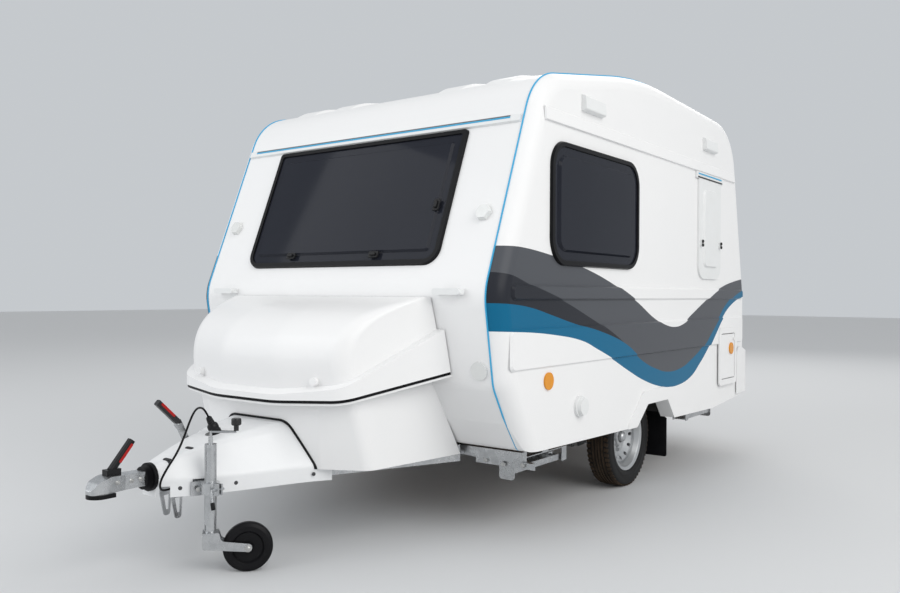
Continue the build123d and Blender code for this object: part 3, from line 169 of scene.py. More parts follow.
def new_group(name: str, takes: dict[str, str], gives: dict[str, str]) -> tuple:
    """Start a shader node group.

    Args:
        name: Name of the group.
        takes: Input names, each with its socket type.
        gives: Output names, each with its socket type.

    Returns:
        The group's tree, the sockets it takes, those it gives, and the object coordinates.
    """
    tree = bpy.data.node_groups.new(name, "ShaderNodeTree")
    for way, sockets in (("INPUT", takes), ("OUTPUT", gives)):
        for label, kind in sockets.items():
            tree.interface.new_socket(label, in_out=way, socket_type=kind)
    into = tree.nodes.new("NodeGroupInput")
    out = tree.nodes.new("NodeGroupOutput")
    where = place_node(tree, "TexCoord")
    return tree, into.outputs, out.inputs, where.outputs["Object"]


class SharedEffects:
    """Node groups that several materials use, each built once."""

    def __init__(self) -> None:
        """Build every group."""
        self.mottle = self.build_mottle()
        self.grain = self.build_grain()
        self.stripes = self.build_stripes()
        self.boundary = self.build_boundary()

    def build_boundary(self) -> NodeTree:
        """Change of colour and metal beyond an edge, measured along one direction to either side.

        Returns:
            The group.
        """
        takes = {"Colour": COLOUR, "Beyond": COLOUR, "Direction": VECTOR}
        takes |= dict.fromkeys(("Metal", "Metal beyond", "Edge"), FLOAT)
        gives = {"Colour": COLOUR, "Metallic": FLOAT}
        tree, into, out, where = new_group("change at an edge", takes, gives)
        values = {0: where, 1: into["Direction"]}
        along = place_node(tree, "VectorMath", values, operation="DOT_PRODUCT")
        far = maths(tree, "ABSOLUTE", along.outputs["Value"])
        test = maths(tree, "GREATER_THAN", far, into["Edge"])
        colour = mix(tree, test, into["Colour"], into["Beyond"])
        metal = mix(tree, test, into["Metal"], into["Metal beyond"], "FLOAT")
        tree.links.new(colour, out["Colour"])
        tree.links.new(metal, out["Metallic"])
        return tree

    def build_mottle(self) -> NodeTree:
        """Uneven colour and gloss: a base colour that turns to a second one in soft patches.

        Returns:
            The group.
        """
        takes = {"Colour": COLOUR, "Patch": COLOUR}
        takes |= dict.fromkeys(("Scale", "Amount", "Roughness", "Gloss change"), FLOAT)
        gives = {"Colour": COLOUR, "Roughness": FLOAT}
        tree, into, out, where = new_group("uneven finish", takes, gives)
        values = {"Vector": where, "Scale": into["Scale"], "Detail": 5.0, "Roughness": 0.6}
        soft = place_node(tree, "TexNoise", values).outputs["Fac"]
        values = {"Value": soft, "From Min": 0.35, "From Max": 0.72}
        spread = place_node(tree, "MapRange", values).outputs["Result"]
        share = maths(tree, "MULTIPLY", spread, into["Amount"])
        gloss = maths(tree, "MULTIPLY_ADD", spread, into["Gloss change"], into["Roughness"])
        tree.links.new(mix(tree, share, into["Colour"], into["Patch"]), out["Colour"])
        tree.links.new(gloss, out["Roughness"])
        return tree

    def build_grain(self) -> NodeTree:
        """Fine surface height: orange peel, cast skin or moulded texture.

        Returns:
            The group.
        """
        takes = {"Scale": FLOAT, "Pits": FLOAT}
        tree, into, out, where = new_group("surface grain", takes, {"Height": FLOAT})
        values = {"Vector": where, "Scale": into["Scale"]}
        noise = place_node(tree, "TexNoise", {**values, "Detail": 3.0})
        cells = place_node(tree, "TexVoronoi", values)
        height = mix(tree, into["Pits"], noise.outputs["Fac"], cells.outputs["Distance"], "FLOAT")
        tree.links.new(height, out["Height"])
        return tree

    def build_stripes(self) -> NodeTree:
        """Swept stripes along a side: two greys over a blue, on the white of the shell.

        Returns:
            The group.
        """
        takes = dict.fromkeys(STRIPE_EDGES, COLOUR)
        tree, into, out, where = new_group("side stripes", takes, {"Colour": COLOUR})
        split = place_node(tree, "SeparateXYZ", {"Vector": where}).outputs
        start, end = STRIPE_SPAN
        low, high = STRIPE_HEIGHTS
        values = {"Value": split["Y"], "From Min": start - MIDDLE, "From Max": end - MIDDLE}
        along = place_node(tree, "MapRange", values).outputs["Result"]
        values = {"Value": split["Z"], "From Min": low, "From Max": high}
        height = place_node(tree, "MapRange", values, clamp=False).outputs["Result"]
        colour = into["Shell"]
        for paint, rows in STRIPE_EDGES.items():
            curve = place_node(tree, "FloatCurve", {"Value": along})
            line = curve.mapping.curves[0]
            points = [((y - start) / (end - start), (z - low) / (high - low)) for y, z in rows]
            line.points[0].location = points[0]
            line.points[1].location = points[-1]
            for point in points[1:-1]:
                line.points.new(*point)
            curve.mapping.update()
            below = maths(tree, "LESS_THAN", height, curve.outputs["Value"])
            colour = mix(tree, below, colour, into[paint])
        outside = self.outer_skin(tree, split["X"], split["Y"])
        tree.links.new(mix(tree, outside, into["Shell"], colour), out["Colour"])
        return tree

    def outer_skin(self, tree: NodeTree, x: NodeSocket, y: NodeSocket) -> NodeSocket:
        """Give 1 on the outer skin of a side and round its corners, and 0 within the wall.

        Args:
            tree: Tree that takes the nodes.
            x: Place across.
            y: Place along.

        Returns:
            The socket with the answer.
        """
        front_end, rear_end = CORNER_ENDS
        flat = maths(tree, "GREATER_THAN", maths(tree, "ABSOLUTE", x), HALF_WIDTH - SKIN)
        front = maths(tree, "LESS_THAN", y, front_end - MIDDLE)
        rear = maths(tree, "GREATER_THAN", y, rear_end - MIDDLE)
        return maths(tree, "MAXIMUM", flat, maths(tree, "MAXIMUM", front, rear))


@dataclass(frozen=True)
class Finish:
    """One finish: its colours, gloss and fine texture."""

    name: str
    colour: Point
    patch: Point
    amount: float = 0.2
    scale: float = 3.0
    roughness: float = 0.4
    gloss_change: float = 0.08
    metallic: float = 0.0
    coat: float = 0.0
    coat_roughness: float = 0.08
    grain: float = 250.0
    pits: float = 0.0
    bump: float = 0.05
    depth: float = 0.0004
    alpha: float = 1.0
    specular: float = 0.5
    sheen: float = 0.0

    def start(self) -> tuple[Material, Node]:
        """Start the material with a bare shader, its even values set on it.

        Returns:
            The material and its shader.
        """
        material = bpy.data.materials.new(self.name)
        material.use_nodes = True
        material.diffuse_color = (*self.colour, 1)
        shader = material.node_tree.nodes["Principled BSDF"]
        even = {
            "Metallic": self.metallic, "Coat Weight": self.coat, "Coat Roughness": self.coat_roughness,
            "Specular IOR Level": self.specular, "Sheen Weight": self.sheen, "Alpha": self.alpha,
        }
        for label, value in even.items():
            shader.inputs[label].default_value = value
        return material, shader

    def make(self, effects: SharedEffects) -> Material:
        """Build the material from the shared effects.

        Args:
            effects: The node groups that the materials share.

        Returns:
            The finished material.
        """
        material, shader = self.start()
        tree = material.node_tree
        values = {
            "Colour": (*self.colour, 1), "Patch": (*self.patch, 1), "Scale": self.scale,
            "Amount": self.amount, "Roughness": self.roughness, "Gloss change": self.gloss_change,
        }
        uneven = place_group(tree, effects.mottle, values).outputs
        colour = self.colour_source(tree, effects, uneven["Colour"])
        tree.links.new(colour, shader.inputs["Base Color"])
        tree.links.new(uneven["Roughness"], shader.inputs["Roughness"])
        grain = place_group(tree, effects.grain, {"Scale": self.grain, "Pits": self.pits})
        values = {"Height": grain.outputs["Height"], "Strength": self.bump, "Distance": self.depth}
        bump = place_node(tree, "Bump", values)
        tree.links.new(bump.outputs["Normal"], shader.inputs["Normal"])
        return material

    def colour_source(self, tree: NodeTree, effects: SharedEffects, colour: NodeSocket) -> NodeSocket:
        """Give the socket that the base colour comes from, here the uneven colour itself."""
        return colour


@dataclass(frozen=True)
class StripedShell(Finish):
    """White shell paint that carries the swept stripes."""

    grey: Point = (0.082, 0.087, 0.098)
    dark_grey: Point = (0.024, 0.026, 0.033)
    blue: Point = (0.005, 0.128, 0.250)

    def colour_source(self, tree: NodeTree, effects: SharedEffects, colour: NodeSocket) -> NodeSocket:
        """Lay the stripes over the uneven white."""
        paints = {"Grey": (*self.grey, 1), "Dark grey": (*self.dark_grey, 1), "Blue": (*self.blue, 1)}
        return place_group(tree, effects.stripes, {"Shell": colour, **paints}).outputs["Colour"]


@dataclass(frozen=True)
class EdgedFinish(Finish):
    """Finish that changes to a second one beyond an edge."""

    beyond: Point = (0.010, 0.010, 0.011)
    metal_beyond: float = 0.0
    direction: Point = UPWARD
    edge: float = 0.0

    def colour_source(self, tree: NodeTree, effects: SharedEffects, colour: NodeSocket) -> NodeSocket:
        """Change the uneven colour, and the metal with it, beyond the edge.

        Args:
            tree: The material's tree.
            effects: The node groups that the materials share.
            colour: Socket with the uneven colour.

        Returns:
            The socket that the base colour comes from.
        """
        values = {
            "Colour": colour, "Beyond": (*self.beyond, 1), "Metal": self.metallic,
            "Metal beyond": self.metal_beyond, "Direction": self.direction, "Edge": self.edge,
        }
        change = place_group(tree, effects.boundary, values).outputs
        tree.links.new(change["Metallic"], tree.nodes["Principled BSDF"].inputs["Metallic"])
        return change["Colour"]


WHITE = (0.83, 0.83, 0.83)
WHITE_PATCH = (0.80, 0.80, 0.802)
AMBER = (0.74, 0.29, 0.012)
AMBER_PATCH = (0.62, 0.22, 0.01)
NEAR_BLACK = (0.010, 0.010, 0.011)
ZINC = {
    "colour": (0.55, 0.56, 0.57), "patch": (0.34, 0.35, 0.36), "amount": 0.6, "scale": 22,
    "roughness": 0.20, "gloss_change": 0.2, "metallic": 0.95, "grain": 160, "pits": 0.2, "bump": 0.02,
}
LENS = {"grain": 350, "pits": 1.0, "bump": 0.3}

# Plain numbers are the amount and scale of the patches, the roughness and its change
FINISHES = {
    "shell": Finish(
        "shell white", WHITE, WHITE_PATCH, 0.35, 1.3, 0.34, 0.06, coat=0.12, grain=90, bump=0.03,
        specular=0.35,
    ),
    "striped_shell": StripedShell(
        "striped shell", WHITE, WHITE_PATCH, 0.35, 1.3, 0.30, 0.06, grain=90, bump=0.03, specular=0.13
    ),
    "trim_white": Finish(
        "moulded white", (0.78, 0.79, 0.79), (0.70, 0.71, 0.70), 0.3, 6, 0.38, 0.08, grain=500
    ),
    "cover": Finish(
        "drawbar cover", (0.78, 0.79, 0.80), (0.66, 0.67, 0.68), 0.3, 4, 0.34, 0.1, coat=0.15, grain=300
    ),
    "piping": Finish("blue piping", (0.035, 0.38, 0.66), (0.02, 0.28, 0.52), 0.3, 8, 0.42, 0.08, grain=600),
    "seam_grey": Finish("seam grey", (0.16, 0.15, 0.14), (0.10, 0.095, 0.09), 0.4, 20, 0.45, 0.1, grain=500),
    "signal_red": Finish(
        "signal red", (0.40, 0.012, 0.010), (0.28, 0.01, 0.01), 0.3, 60, 0.32, 0.1, grain=600,
        specular=0.25,
    ),
    "galvanised": Finish("galvanised steel", **ZINC),
    "tube_and_knob": EdgedFinish("galvanised tube and black knob", **ZINC, edge=0.574),
    "lever_and_grip": EdgedFinish("galvanised lever and black grip", **ZINC, edge=0.568),
    "dark_steel": Finish(
        "dark steel", (0.10, 0.10, 0.105), (0.05, 0.05, 0.05), 0.5, 90, 0.34, 0.15, metallic=0.8, grain=500
    ),
    "bright_zinc": Finish(
        "bright zinc", (0.56, 0.56, 0.55), (0.34, 0.34, 0.33), 0.5, 90, 0.26, 0.2, metallic=0.95, grain=500
    ),
    "wheel_silver": Finish(
        "wheel silver", (0.50, 0.51, 0.52), (0.38, 0.39, 0.40), 0.3, 14, 0.34, 0.1, metallic=0.75,
        coat=0.1, grain=420, bump=0.06,
    ),
    "tyre": Finish(
        "tyre rubber", NEAR_BLACK, (0.022, 0.021, 0.020), 0.6, 12, 0.5, 0.14, grain=700, bump=0.15,
        specular=0.2,
    ),
    "tread": Finish(
        "dusty tread", (0.060, 0.042, 0.028), (0.020, 0.016, 0.013), 0.8, 22, 0.75, 0.1, grain=500,
        bump=0.2, specular=0.15,
    ),
    "rubber": Finish(
        "black rubber", (0.006, 0.006, 0.007), (0.014, 0.014, 0.015), 0.4, 12, 0.30, 0.1, grain=800,
        bump=0.06, specular=0.12,
    ),
    "black_plastic": Finish(
        "black plastic", NEAR_BLACK, (0.02, 0.02, 0.02), 0.3, 15, 0.32, 0.1, grain=900, specular=0.2
    ),
    "dark_liner": Finish(
        "dark liner", (0.03, 0.03, 0.032), (0.06, 0.055, 0.05), 0.6, 5, 0.75, 0.1, grain=300, bump=0.2
    ),
    "grey_liner": Finish("grey liner", (0.30, 0.30, 0.30), (0.22, 0.22, 0.22), 0.3, 5, 0.6, 0.1),
    "amber": Finish("amber lens", AMBER, AMBER_PATCH, 0.3, 40, 0.2, 0.04, coat=0.15, specular=0.3, **LENS),
    "rear_lenses": EdgedFinish(
        "amber and red lenses", AMBER, AMBER_PATCH, 0.3, 40, 0.18, 0.04, coat=0.3,
        beyond=(0.52, 0.012, 0.012), direction=ACROSS, edge=0.78, **LENS,
    ),
    "lens_white": Finish(
        "white lens", (0.74, 0.75, 0.74), (0.62, 0.63, 0.62), 0.3, 40, 0.14, 0.04, coat=0.6, **LENS
    ),
    "pane": Finish(
        "tinted pane", (0.020, 0.022, 0.030), (0.026, 0.029, 0.038), 0.3, 2, 0.05, 0.03, grain=40,
        bump=0.01, alpha=0.96, specular=0.09,
    ),
    "board": Finish("floor board", (0.20, 0.12, 0.07), (0.12, 0.07, 0.04), 0.6, 9, 0.5, 0.1, grain=120),
    "veneer": Finish("cabinet veneer", (0.42, 0.26, 0.13), (0.30, 0.17, 0.08), 0.6, 7, 0.42, 0.1, grain=140),
    "laminate": Finish(
        "worktop laminate", (0.55, 0.52, 0.46), (0.44, 0.41, 0.36), 0.4, 60, 0.35, 0.08, grain=400
    ),
    "fabric": Finish(
        "seat fabric", (0.10, 0.12, 0.17), (0.16, 0.18, 0.23), 0.5, 60, 0.85, 0.05, grain=900,
        bump=0.3, sheen=0.3,
    ),
}

# CAD nodes that wear each finish
WEARERS = {
    "striped_shell": (
        "side_shell_left", "side_shell_right", "entry_door", "service_flap", "service_flap_frame",
    ),
    "shell": ("front_panel", "roof_panel", "rear_panel", "rear_bumper", "locker_lid", "locker_box"),
    "trim_white": (
        "roof_hatch", "trim_rails", "trim_rail_caps", "narrow_hatch", "side_vents", "filler_cap",
        "grab_handles",
    ),
    "cover": ("drawbar_cover",),
    "piping": ("seam_piping",),
    "galvanised": (
        "overrun_unit", "coupling_head", "jockey_clamp", "jockey_inner_tube", "jockey_fork",
        "chassis_frame", "axle", "steady_brackets", "steady_front_left", "steady_front_right",
        "steady_rear_left", "steady_rear_right",
    ),
    "tube_and_knob": ("jockey_tube",),
    "lever_and_grip": ("handbrake_lever",),
    "wheel_silver": ("wheel_left", "wheel_right"),
    "tyre": ("tyre_left", "tyre_right"),
    "rubber": ("window_frames", "rubber_seals", "bellows_and_buffer", "jockey_wheel", "mud_flaps"),
    "black_plastic": ("door_fittings", "coupling_handle", "towing_plug", "plug_holder"),
    "dark_liner": ("wheel_boxes",),
    "grey_liner": ("service_locker",),
    "amber": ("side_reflectors",),
    "rear_lenses": ("rear_lamps",),
    "lens_white": ("front_lamps",),
    "pane": ("window_panes", "door_window_pane"),
    "board": ("floor",),
    "veneer": ("furniture",),
    "laminate": ("table_and_worktop",),
    "fabric": ("seat_cushion",),
}


class Wardrobe:
    """Makes each finish once and dresses the pieces in it."""

    def __init__(self) -> None:
        """Build the shared effects."""
        self.effects = SharedEffects()
        self.made: dict[str, Material] = {}

    def material(self, name: str) -> Material:
        """Give the material of a finish, made at its first use.

        Args:
            name: Name of the finish.

        Returns:
            The material.
        """
        if name not in self.made:
            self.made[name] = FINISHES[name].make(self.effects)
        return self.made[name]

    def dress(self, piece: Object, name: str) -> None:
        """Put one finish on all of a piece.

        Args:
            piece: The piece.
            name: Name of the finish.
        """
        material = self.material(name)
        if not piece.material_slots:
            piece.data.materials.append(material)
        for held in piece.material_slots:
            held.material = material

    def dress_nodes(self, nodes: dict[str, Object]) -> None:
        """Dress the carried-over CAD nodes.

        Args:
            nodes: The nodes by name.
        """
        for finish, names in WEARERS.items():
            for name in names:
                self.dress(nodes[name], finish)
                log.info("dressed %s", name)


# Shaping


class Side(Enum):
    """Side of the caravan, by the sign of its x."""

    LEFT = 1
    RIGHT = -1


@dataclass(frozen=True)
class Spot:
    """Where a piece stands, the way it faces and the way its top points."""

    place: Point
    out: Point
    up: Point = UPWARD

    def matrix(self) -> Matrix:
        """Give the placing of a piece that was shaped lying flat at the origin.

        Returns:
            The placing in the row frame.
        """
        out = Vector(self.out).normalized()
        across = Vector(self.up).cross(out).normalized()
        basis = Matrix((across, out.cross(across), out)).transposed().to_4x4()
        x, y, z = self.place
        return Matrix.Translation((x, y - MIDDLE, z)) @ basis

    def mirrored(self) -> Spot:
        """Give the same spot on the other side."""
        return Spot(*[(-x, y, z) for x, y, z in (self.place, self.out, self.up)])


@dataclass(frozen=True)
class Slope:
    """Leaning face of the shell: the foot of its middle line, its way out and its way up."""

    foot: Point
    out: Point
    up: Point

    def spot(self, across: float, above: float, proud: float) -> Spot:
        """Give the spot at a distance across, up the slope and out from it."""
        place = Vector(self.foot) + Vector(self.up) * above + Vector(self.out) * proud
        return Spot((across, place.y, place.z), self.out, self.up)


FRONT_SLOPE = Slope((0.0, -0.012, 1.135), (0.0, -0.9329, 0.3601), (0.0, 0.3601, 0.9329))
REAR_SLOPE = Slope((0.0, 3.352, 1.130), (0.0, 0.9757, 0.2189), (0.0, -0.2189, 0.9757))


def clear_selection() -> None:
    """Deselect every object."""
    bpy.ops.object.select_all(action="DESELECT")


def select_alone(piece: Object) -> None:
    """Select one piece and nothing else.

    Args:
        piece: The piece.
    """
    clear_selection()
    bpy.context.view_layer.objects.active = piece
    piece.select_set(True)


def begin_edit(piece: Object, kind: str = "FACE") -> None:
    """Open one piece alone for editing, all of it selected.

    Args:
        piece: The piece.
        kind: What is selected: FACE, EDGE or VERT.
    """
    select_alone(piece)
    bpy.ops.object.mode_set(mode="EDIT")
    bpy.ops.mesh.select_mode(type=kind)
    bpy.ops.mesh.select_all(action="SELECT")


def end_edit() -> None:
    """Turn all faces outwards and leave the edit."""
    bpy.ops.mesh.select_all(action="SELECT")
    bpy.ops.mesh.normals_make_consistent(inside=False)
    bpy.ops.object.mode_set(mode="OBJECT")


def lathe(rows: Rows, sides: int) -> Object:
    """Shape a round piece by drawing a disc up its axis.

    Args:
        rows: Radius and height of each ring, from the foot up.
        sides: Corners of each ring.

    Returns:
        The piece, standing on the origin.
    """
    clear_selection()
    radius, height = rows[0]
    bpy.ops.mesh.primitive_circle_add(vertices=sides, radius=radius, fill_type="NGON")
    piece = bpy.context.object
    begin_edit(piece)
    bpy.ops.transform.translate(value=(0, 0, height))
    for wide, high in rows[1:]:
        bpy.ops.mesh.extrude_region_move(TRANSFORM_OT_translate={"value": (0, 0, high - height)})
        share = wide / radius
        bpy.ops.transform.resize(value=(share, share, 1), center_override=(0, 0, high))
        radius, height = wide, high
    end_edit()
    return piece


class Flat(NamedTuple):
    """Sizes of a plate: across, up, its thickness, the radius of its corners and its top bevel."""

    wide: float
    high: float
    thick: float
    corner: float
    edge: float


def plate(size: Flat) -> Object:
    """Shape a plate with round corners and a bevelled top edge.

    Args:
        size: Its sizes.

    Returns:
        The plate, lying on the origin.
    """
    clear_selection()
    bpy.ops.mesh.primitive_plane_add(size=1)
    piece = bpy.context.object
    begin_edit(piece)
    bpy.ops.transform.resize(value=(size.wide, size.high, 1))
    bpy.ops.mesh.bevel(offset=size.corner, segments=4, affect="VERTICES")
    bpy.ops.mesh.select_all(action="SELECT")
    rise = (0, 0, size.thick - size.edge)
    bpy.ops.mesh.extrude_region_move(TRANSFORM_OT_translate={"value": rise})
    bpy.ops.mesh.inset(thickness=size.edge, depth=size.edge)
    end_edit()
    return piece


def settle(shape: Object, name: str, spots: list[Spot]) -> Object:
    """Stand a shaped piece on each of its spots and join the copies into one.

    Args:
        shape: The piece as it was shaped, at the origin.
        name: Name of the joined piece.
        spots: Where the copies go.

    Returns:
        The joined piece, its place in its mesh.
    """
    twins = []
    for spot in spots:
        twin = shape.copy()
        twin.data = shape.data.copy()
        bpy.context.collection.objects.link(twin)
        twin.matrix_world = spot.matrix()
        twins.append(twin)
    bpy.data.objects.remove(shape)
    clear_selection()
    for twin in twins:
        twin.select_set(True)
    bpy.context.view_layer.objects.active = twins[0]
    bpy.ops.object.transform_apply(location=True, rotation=True, scale=True)
    if len(twins) > 1:
        bpy.ops.object.join()
    joined = bpy.context.view_layer.objects.active
    joined.name = name
    bpy.ops.object.shade_smooth_by_angle(angle=math.radians(32))
    return joined


@dataclass
class Fittings:
    """New pieces of one assembly, dressed from the wardrobe."""

    wardrobe: Wardrobe

    def show(self, piece: Object, finish: str, slot: str, body: str = MAIN_BODY) -> None:
        """Dress a new piece, fix it to its body and report it.

        Args:
            piece: The piece.
            finish: Name of the finish.
            slot: Material slot of the record; not used.
            body: Body that carries the piece.
        """
        self.wardrobe.dress(piece, finish)
        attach(piece, body)
        log.info("built %s", piece.name)

    def add(
        self, shape: Object, name: str, spots: list[Spot], finish: str = "black_plastic",
        slot: str = "black_plastic", body: str = MAIN_BODY,
    ) -> Object:
        """Make a new piece of a shape that stands on one or more spots.

        Args:
            shape: The piece as it was shaped, at the origin.
            name: Name of the piece.
            spots: Where its copies go.
            finish: Name of the finish.
            slot: Material slot of the record.
            body: Body that carries the piece.

        Returns:
            The new piece.
        """
        piece = settle(shape, name, spots)
        self.show(piece, finish, slot, body)
        return piece


@dataclass
class WindowFittings(Fittings):
    """Catches along two edges of the front pane."""

    side_catch: tuple[float, float] = (0.582, 0.436)
    foot_catches: Rows = ((-0.314, 0.196), (0.266, 0.190))
    proud: float = 0.0202
    foot: Flat = Flat(wide=0.062, high=0.034, thick=0.006, corner=0.008, edge=0.002)
    knob: Flat = Flat(wide=0.03844, high=0.017, thick=0.016, corner=0.006, edge=0.003)

    def build(self) -> None:
        """Build the feet of the catches and the knobs on them."""
        side = FRONT_SLOPE.spot(*self.side_catch, self.proud)
        spots = [Spot(side.place, side.out, ACROSS)]
        spots += [FRONT_SLOPE.spot(*place, self.proud) for place in self.foot_catches]
        self.add(plate(self.foot), "window_catch_feet", spots)
        self.add(plate(self.knob), "window_catches", spots)


@dataclass
class RailInlays(Fittings):
    """Dark seam and blue line let into each trim rail, each with its height above the rail's line."""

    rail_up: float = 0.868
    proud: float = 0.0121
    seam: tuple[float, Flat] = (0.0115, Flat(1.766, 0.006, 0.0016, 0.0005, 0.0006))
    line: tuple[float, Flat] = (0.0035, Flat(1.766, 0.0085, 0.0016, 0.0005, 0.0006))
    hatch_at: Point = (1.0353, 2.5435, 1.9155)
    hatch_seam: tuple[float, Flat] = (-0.014, Flat(0.46, 0.009, 0.0022, 0.0005, 0.0006))
    hatch_line: tuple[float, Flat] = (0.008, Flat(0.44, 0.009, 0.0016, 0.0005, 0.0006))

    def build(self) -> None:
        """Build the lines on the front, rear and hatch rails."""
        for name, (rise, size), finish in (
            ("rail_seams", self.seam, "seam_grey"),
            ("rail_lines", self.line, "piping"),
        ):
            spots = [slope.spot(0, self.rail_up + rise, self.proud) for slope in (FRONT_SLOPE, REAR_SLOPE)]
            self.add(plate(size), name, spots, finish, "blue_piping")
        x, y, z = self.hatch_at
        for name, (rise, size), finish, slot in (
            ("hatch_rail_line", self.hatch_line, "piping", "blue_piping"),
            ("hatch_rail_seam", self.hatch_seam, "black_plastic", "black_plastic"),
        ):
            self.add(plate(size), name, [Spot((x, y, z + rise), ACROSS)], finish, slot)


@dataclass
class HatchCatches(Fittings):
    """Pair of small dark turn catches at each upright edge of the narrow hatch."""

    face: float = 1.0465
    edges: tuple[float, float] = (2.3685, 2.7225)
    heights: tuple[float, float] = (1.4595, 1.4835)
    catch: Rows = ((0.007, 0.0), (0.011, 0.001), (0.011, 0.007), (0.0085, 0.0095), (0.003, 0.0095))

    def build(self) -> None:
        """Build both pairs."""
        spots = [Spot((self.face, y, z), ACROSS) for y in self.edges for z in self.heights]
        self.add(lathe(self.catch, sides=20), "hatch_catches", spots)


@dataclass
class CoverFixings(Fittings):
    """Screws and slot rims of the drawbar cover."""

    screws: tuple[Point, ...] = ((0.0992, -0.931, 0.342), (0.1985, -0.731, 0.342), (0.3302, -0.415, 0.342))
    flares: Point = (0.61, 0.455, 0.51)  # how far forward the cover's side faces at each screw
    screw: Rows = (
        (0.0075, -0.002), (0.0085, 0.0), (0.0082, 0.002), (0.0055, 0.0042), (0.0035, 0.0042),
        (0.0030, 0.0026),
    )
    slots: tuple[tuple[Point, Point], ...] = (
        ((0.039, -0.950, 0.4520), (0.0, -0.302, 0.953)),
        ((0.039, -0.844, 0.4835), (0.0, -0.26, 0.966)),
    )
    slot_up: Point = (0.0, 0.953, 0.302)
    rim: Flat = Flat(wide=0.046, high=0.017, thick=0.0032, corner=0.0078, edge=0.0012)

    def build(self) -> None:
        """Build the screws on both sides of the cover and the rims of its slots."""
        spots = [Spot(place, out, self.slot_up) for place, out in self.slots]
        self.add(plate(self.rim), "cover_slot_rims", spots)
        spots = []
        for place, flare in zip(self.screws, self.flares):
            spot = Spot(place, (1.0, -flare, 0.0))
            spots += [spot, spot.mirrored()]
        self.add(lathe(self.screw, sides=20), "cover_screws", spots, "dark_steel", "black_steel")


@dataclass
class GripInlays(Fittings):
    """Red inlays of the coupling handle and of the handbrake grip.

    Each grip is given by the name of its pair and by the two ends of its middle line.
    """

    grips: tuple[tuple[str, Point, Point], ...] = (
        ("coupling_grip_inlays", (0.0, -1.174, 0.440), (0.0, -1.086, 0.546)),
        ("brake_grip_inlays", (-0.105, -0.796, 0.570), (-0.105, -0.900, 0.668)),
    )
    half: float = 0.0138  # of the grip's thickness across the caravan
    width: float = 0.0115
    towards_rear: float = 0.0045
    middle_at: float = 0.60
    share: float = 0.62  # of the grip's length

    def build(self) -> None:
        """Build a pair of inlays for each grip."""
        for name, start, end in self.grips:
            line = Vector(end) - Vector(start)
            aside = Vector((0, line.z, -line.y)).normalized() * self.towards_rear
            middle = Vector(start) + line * self.middle_at + aside
            spots = []
            for side in Side:
                place = (middle.x + side.value * self.half, middle.y, middle.z)
                spots.append(Spot(place, (side.value, 0, 0), tuple(line.normalized())))
            inlay = Flat(self.width, line.length * self.share, thick=0.0024, corner=0.004, edge=0.0008)
            self.add(plate(inlay), name, spots, "signal_red", "red_lens")


@dataclass
class CouplingFixings(Fittings):
    """Ends of the through bolts of the coupling head: a hexagon on a washer."""

    ends: tuple[Point, ...] = ((0.0312, -1.104, 0.392), (0.0312, -1.064, 0.392), (0.0385, -1.168, 0.397))
    washer: Rows = ((0.0085, -0.004), (0.0092, 0.0), (0.0092, 0.0016), (0.0080, 0.0022))
    nut: Rows = (
        (0.0068, 0.0), (0.0072, 0.0012), (0.0072, 0.0066), (0.0060, 0.0080), (0.0036, 0.0080),
        (0.0032, 0.0104),
    )

    def build(self) -> None:
        """Build the washers and the nuts on both sides."""
        spots = []
        for place in self.ends:
            spot = Spot(place, ACROSS)
            spots += [spot, spot.mirrored()]
        self.add(lathe(self.washer, sides=24), "coupling_washers", spots, "bright_zinc", "galvanised")
        self.add(lathe(self.nut, sides=6), "coupling_nuts", spots, "bright_zinc", "galvanised")


@dataclass
class SteadyFixings(Fittings):
    """Bolt heads on the channels of the front steadies."""

    heads: tuple[Point, ...] = ((0.834, 0.3318, 0.330), (0.730, 0.336, 0.337), (0.938, 0.336, 0.337))
    bolt: Rows = ((0.012, -0.002), (0.013, 0.0), (0.013, 0.009), (0.010, 0.012), (0.006, 0.012))

    def build(self) -> None:
        """Build the bolt heads of both sides."""
        spots = [Spot((side.value * x, y, z), FORWARD) for side in Side for x, y, z in self.heads]
        self.add(lathe(self.bolt, sides=6), "steady_bolts", spots, "bright_zinc", "galvanised")


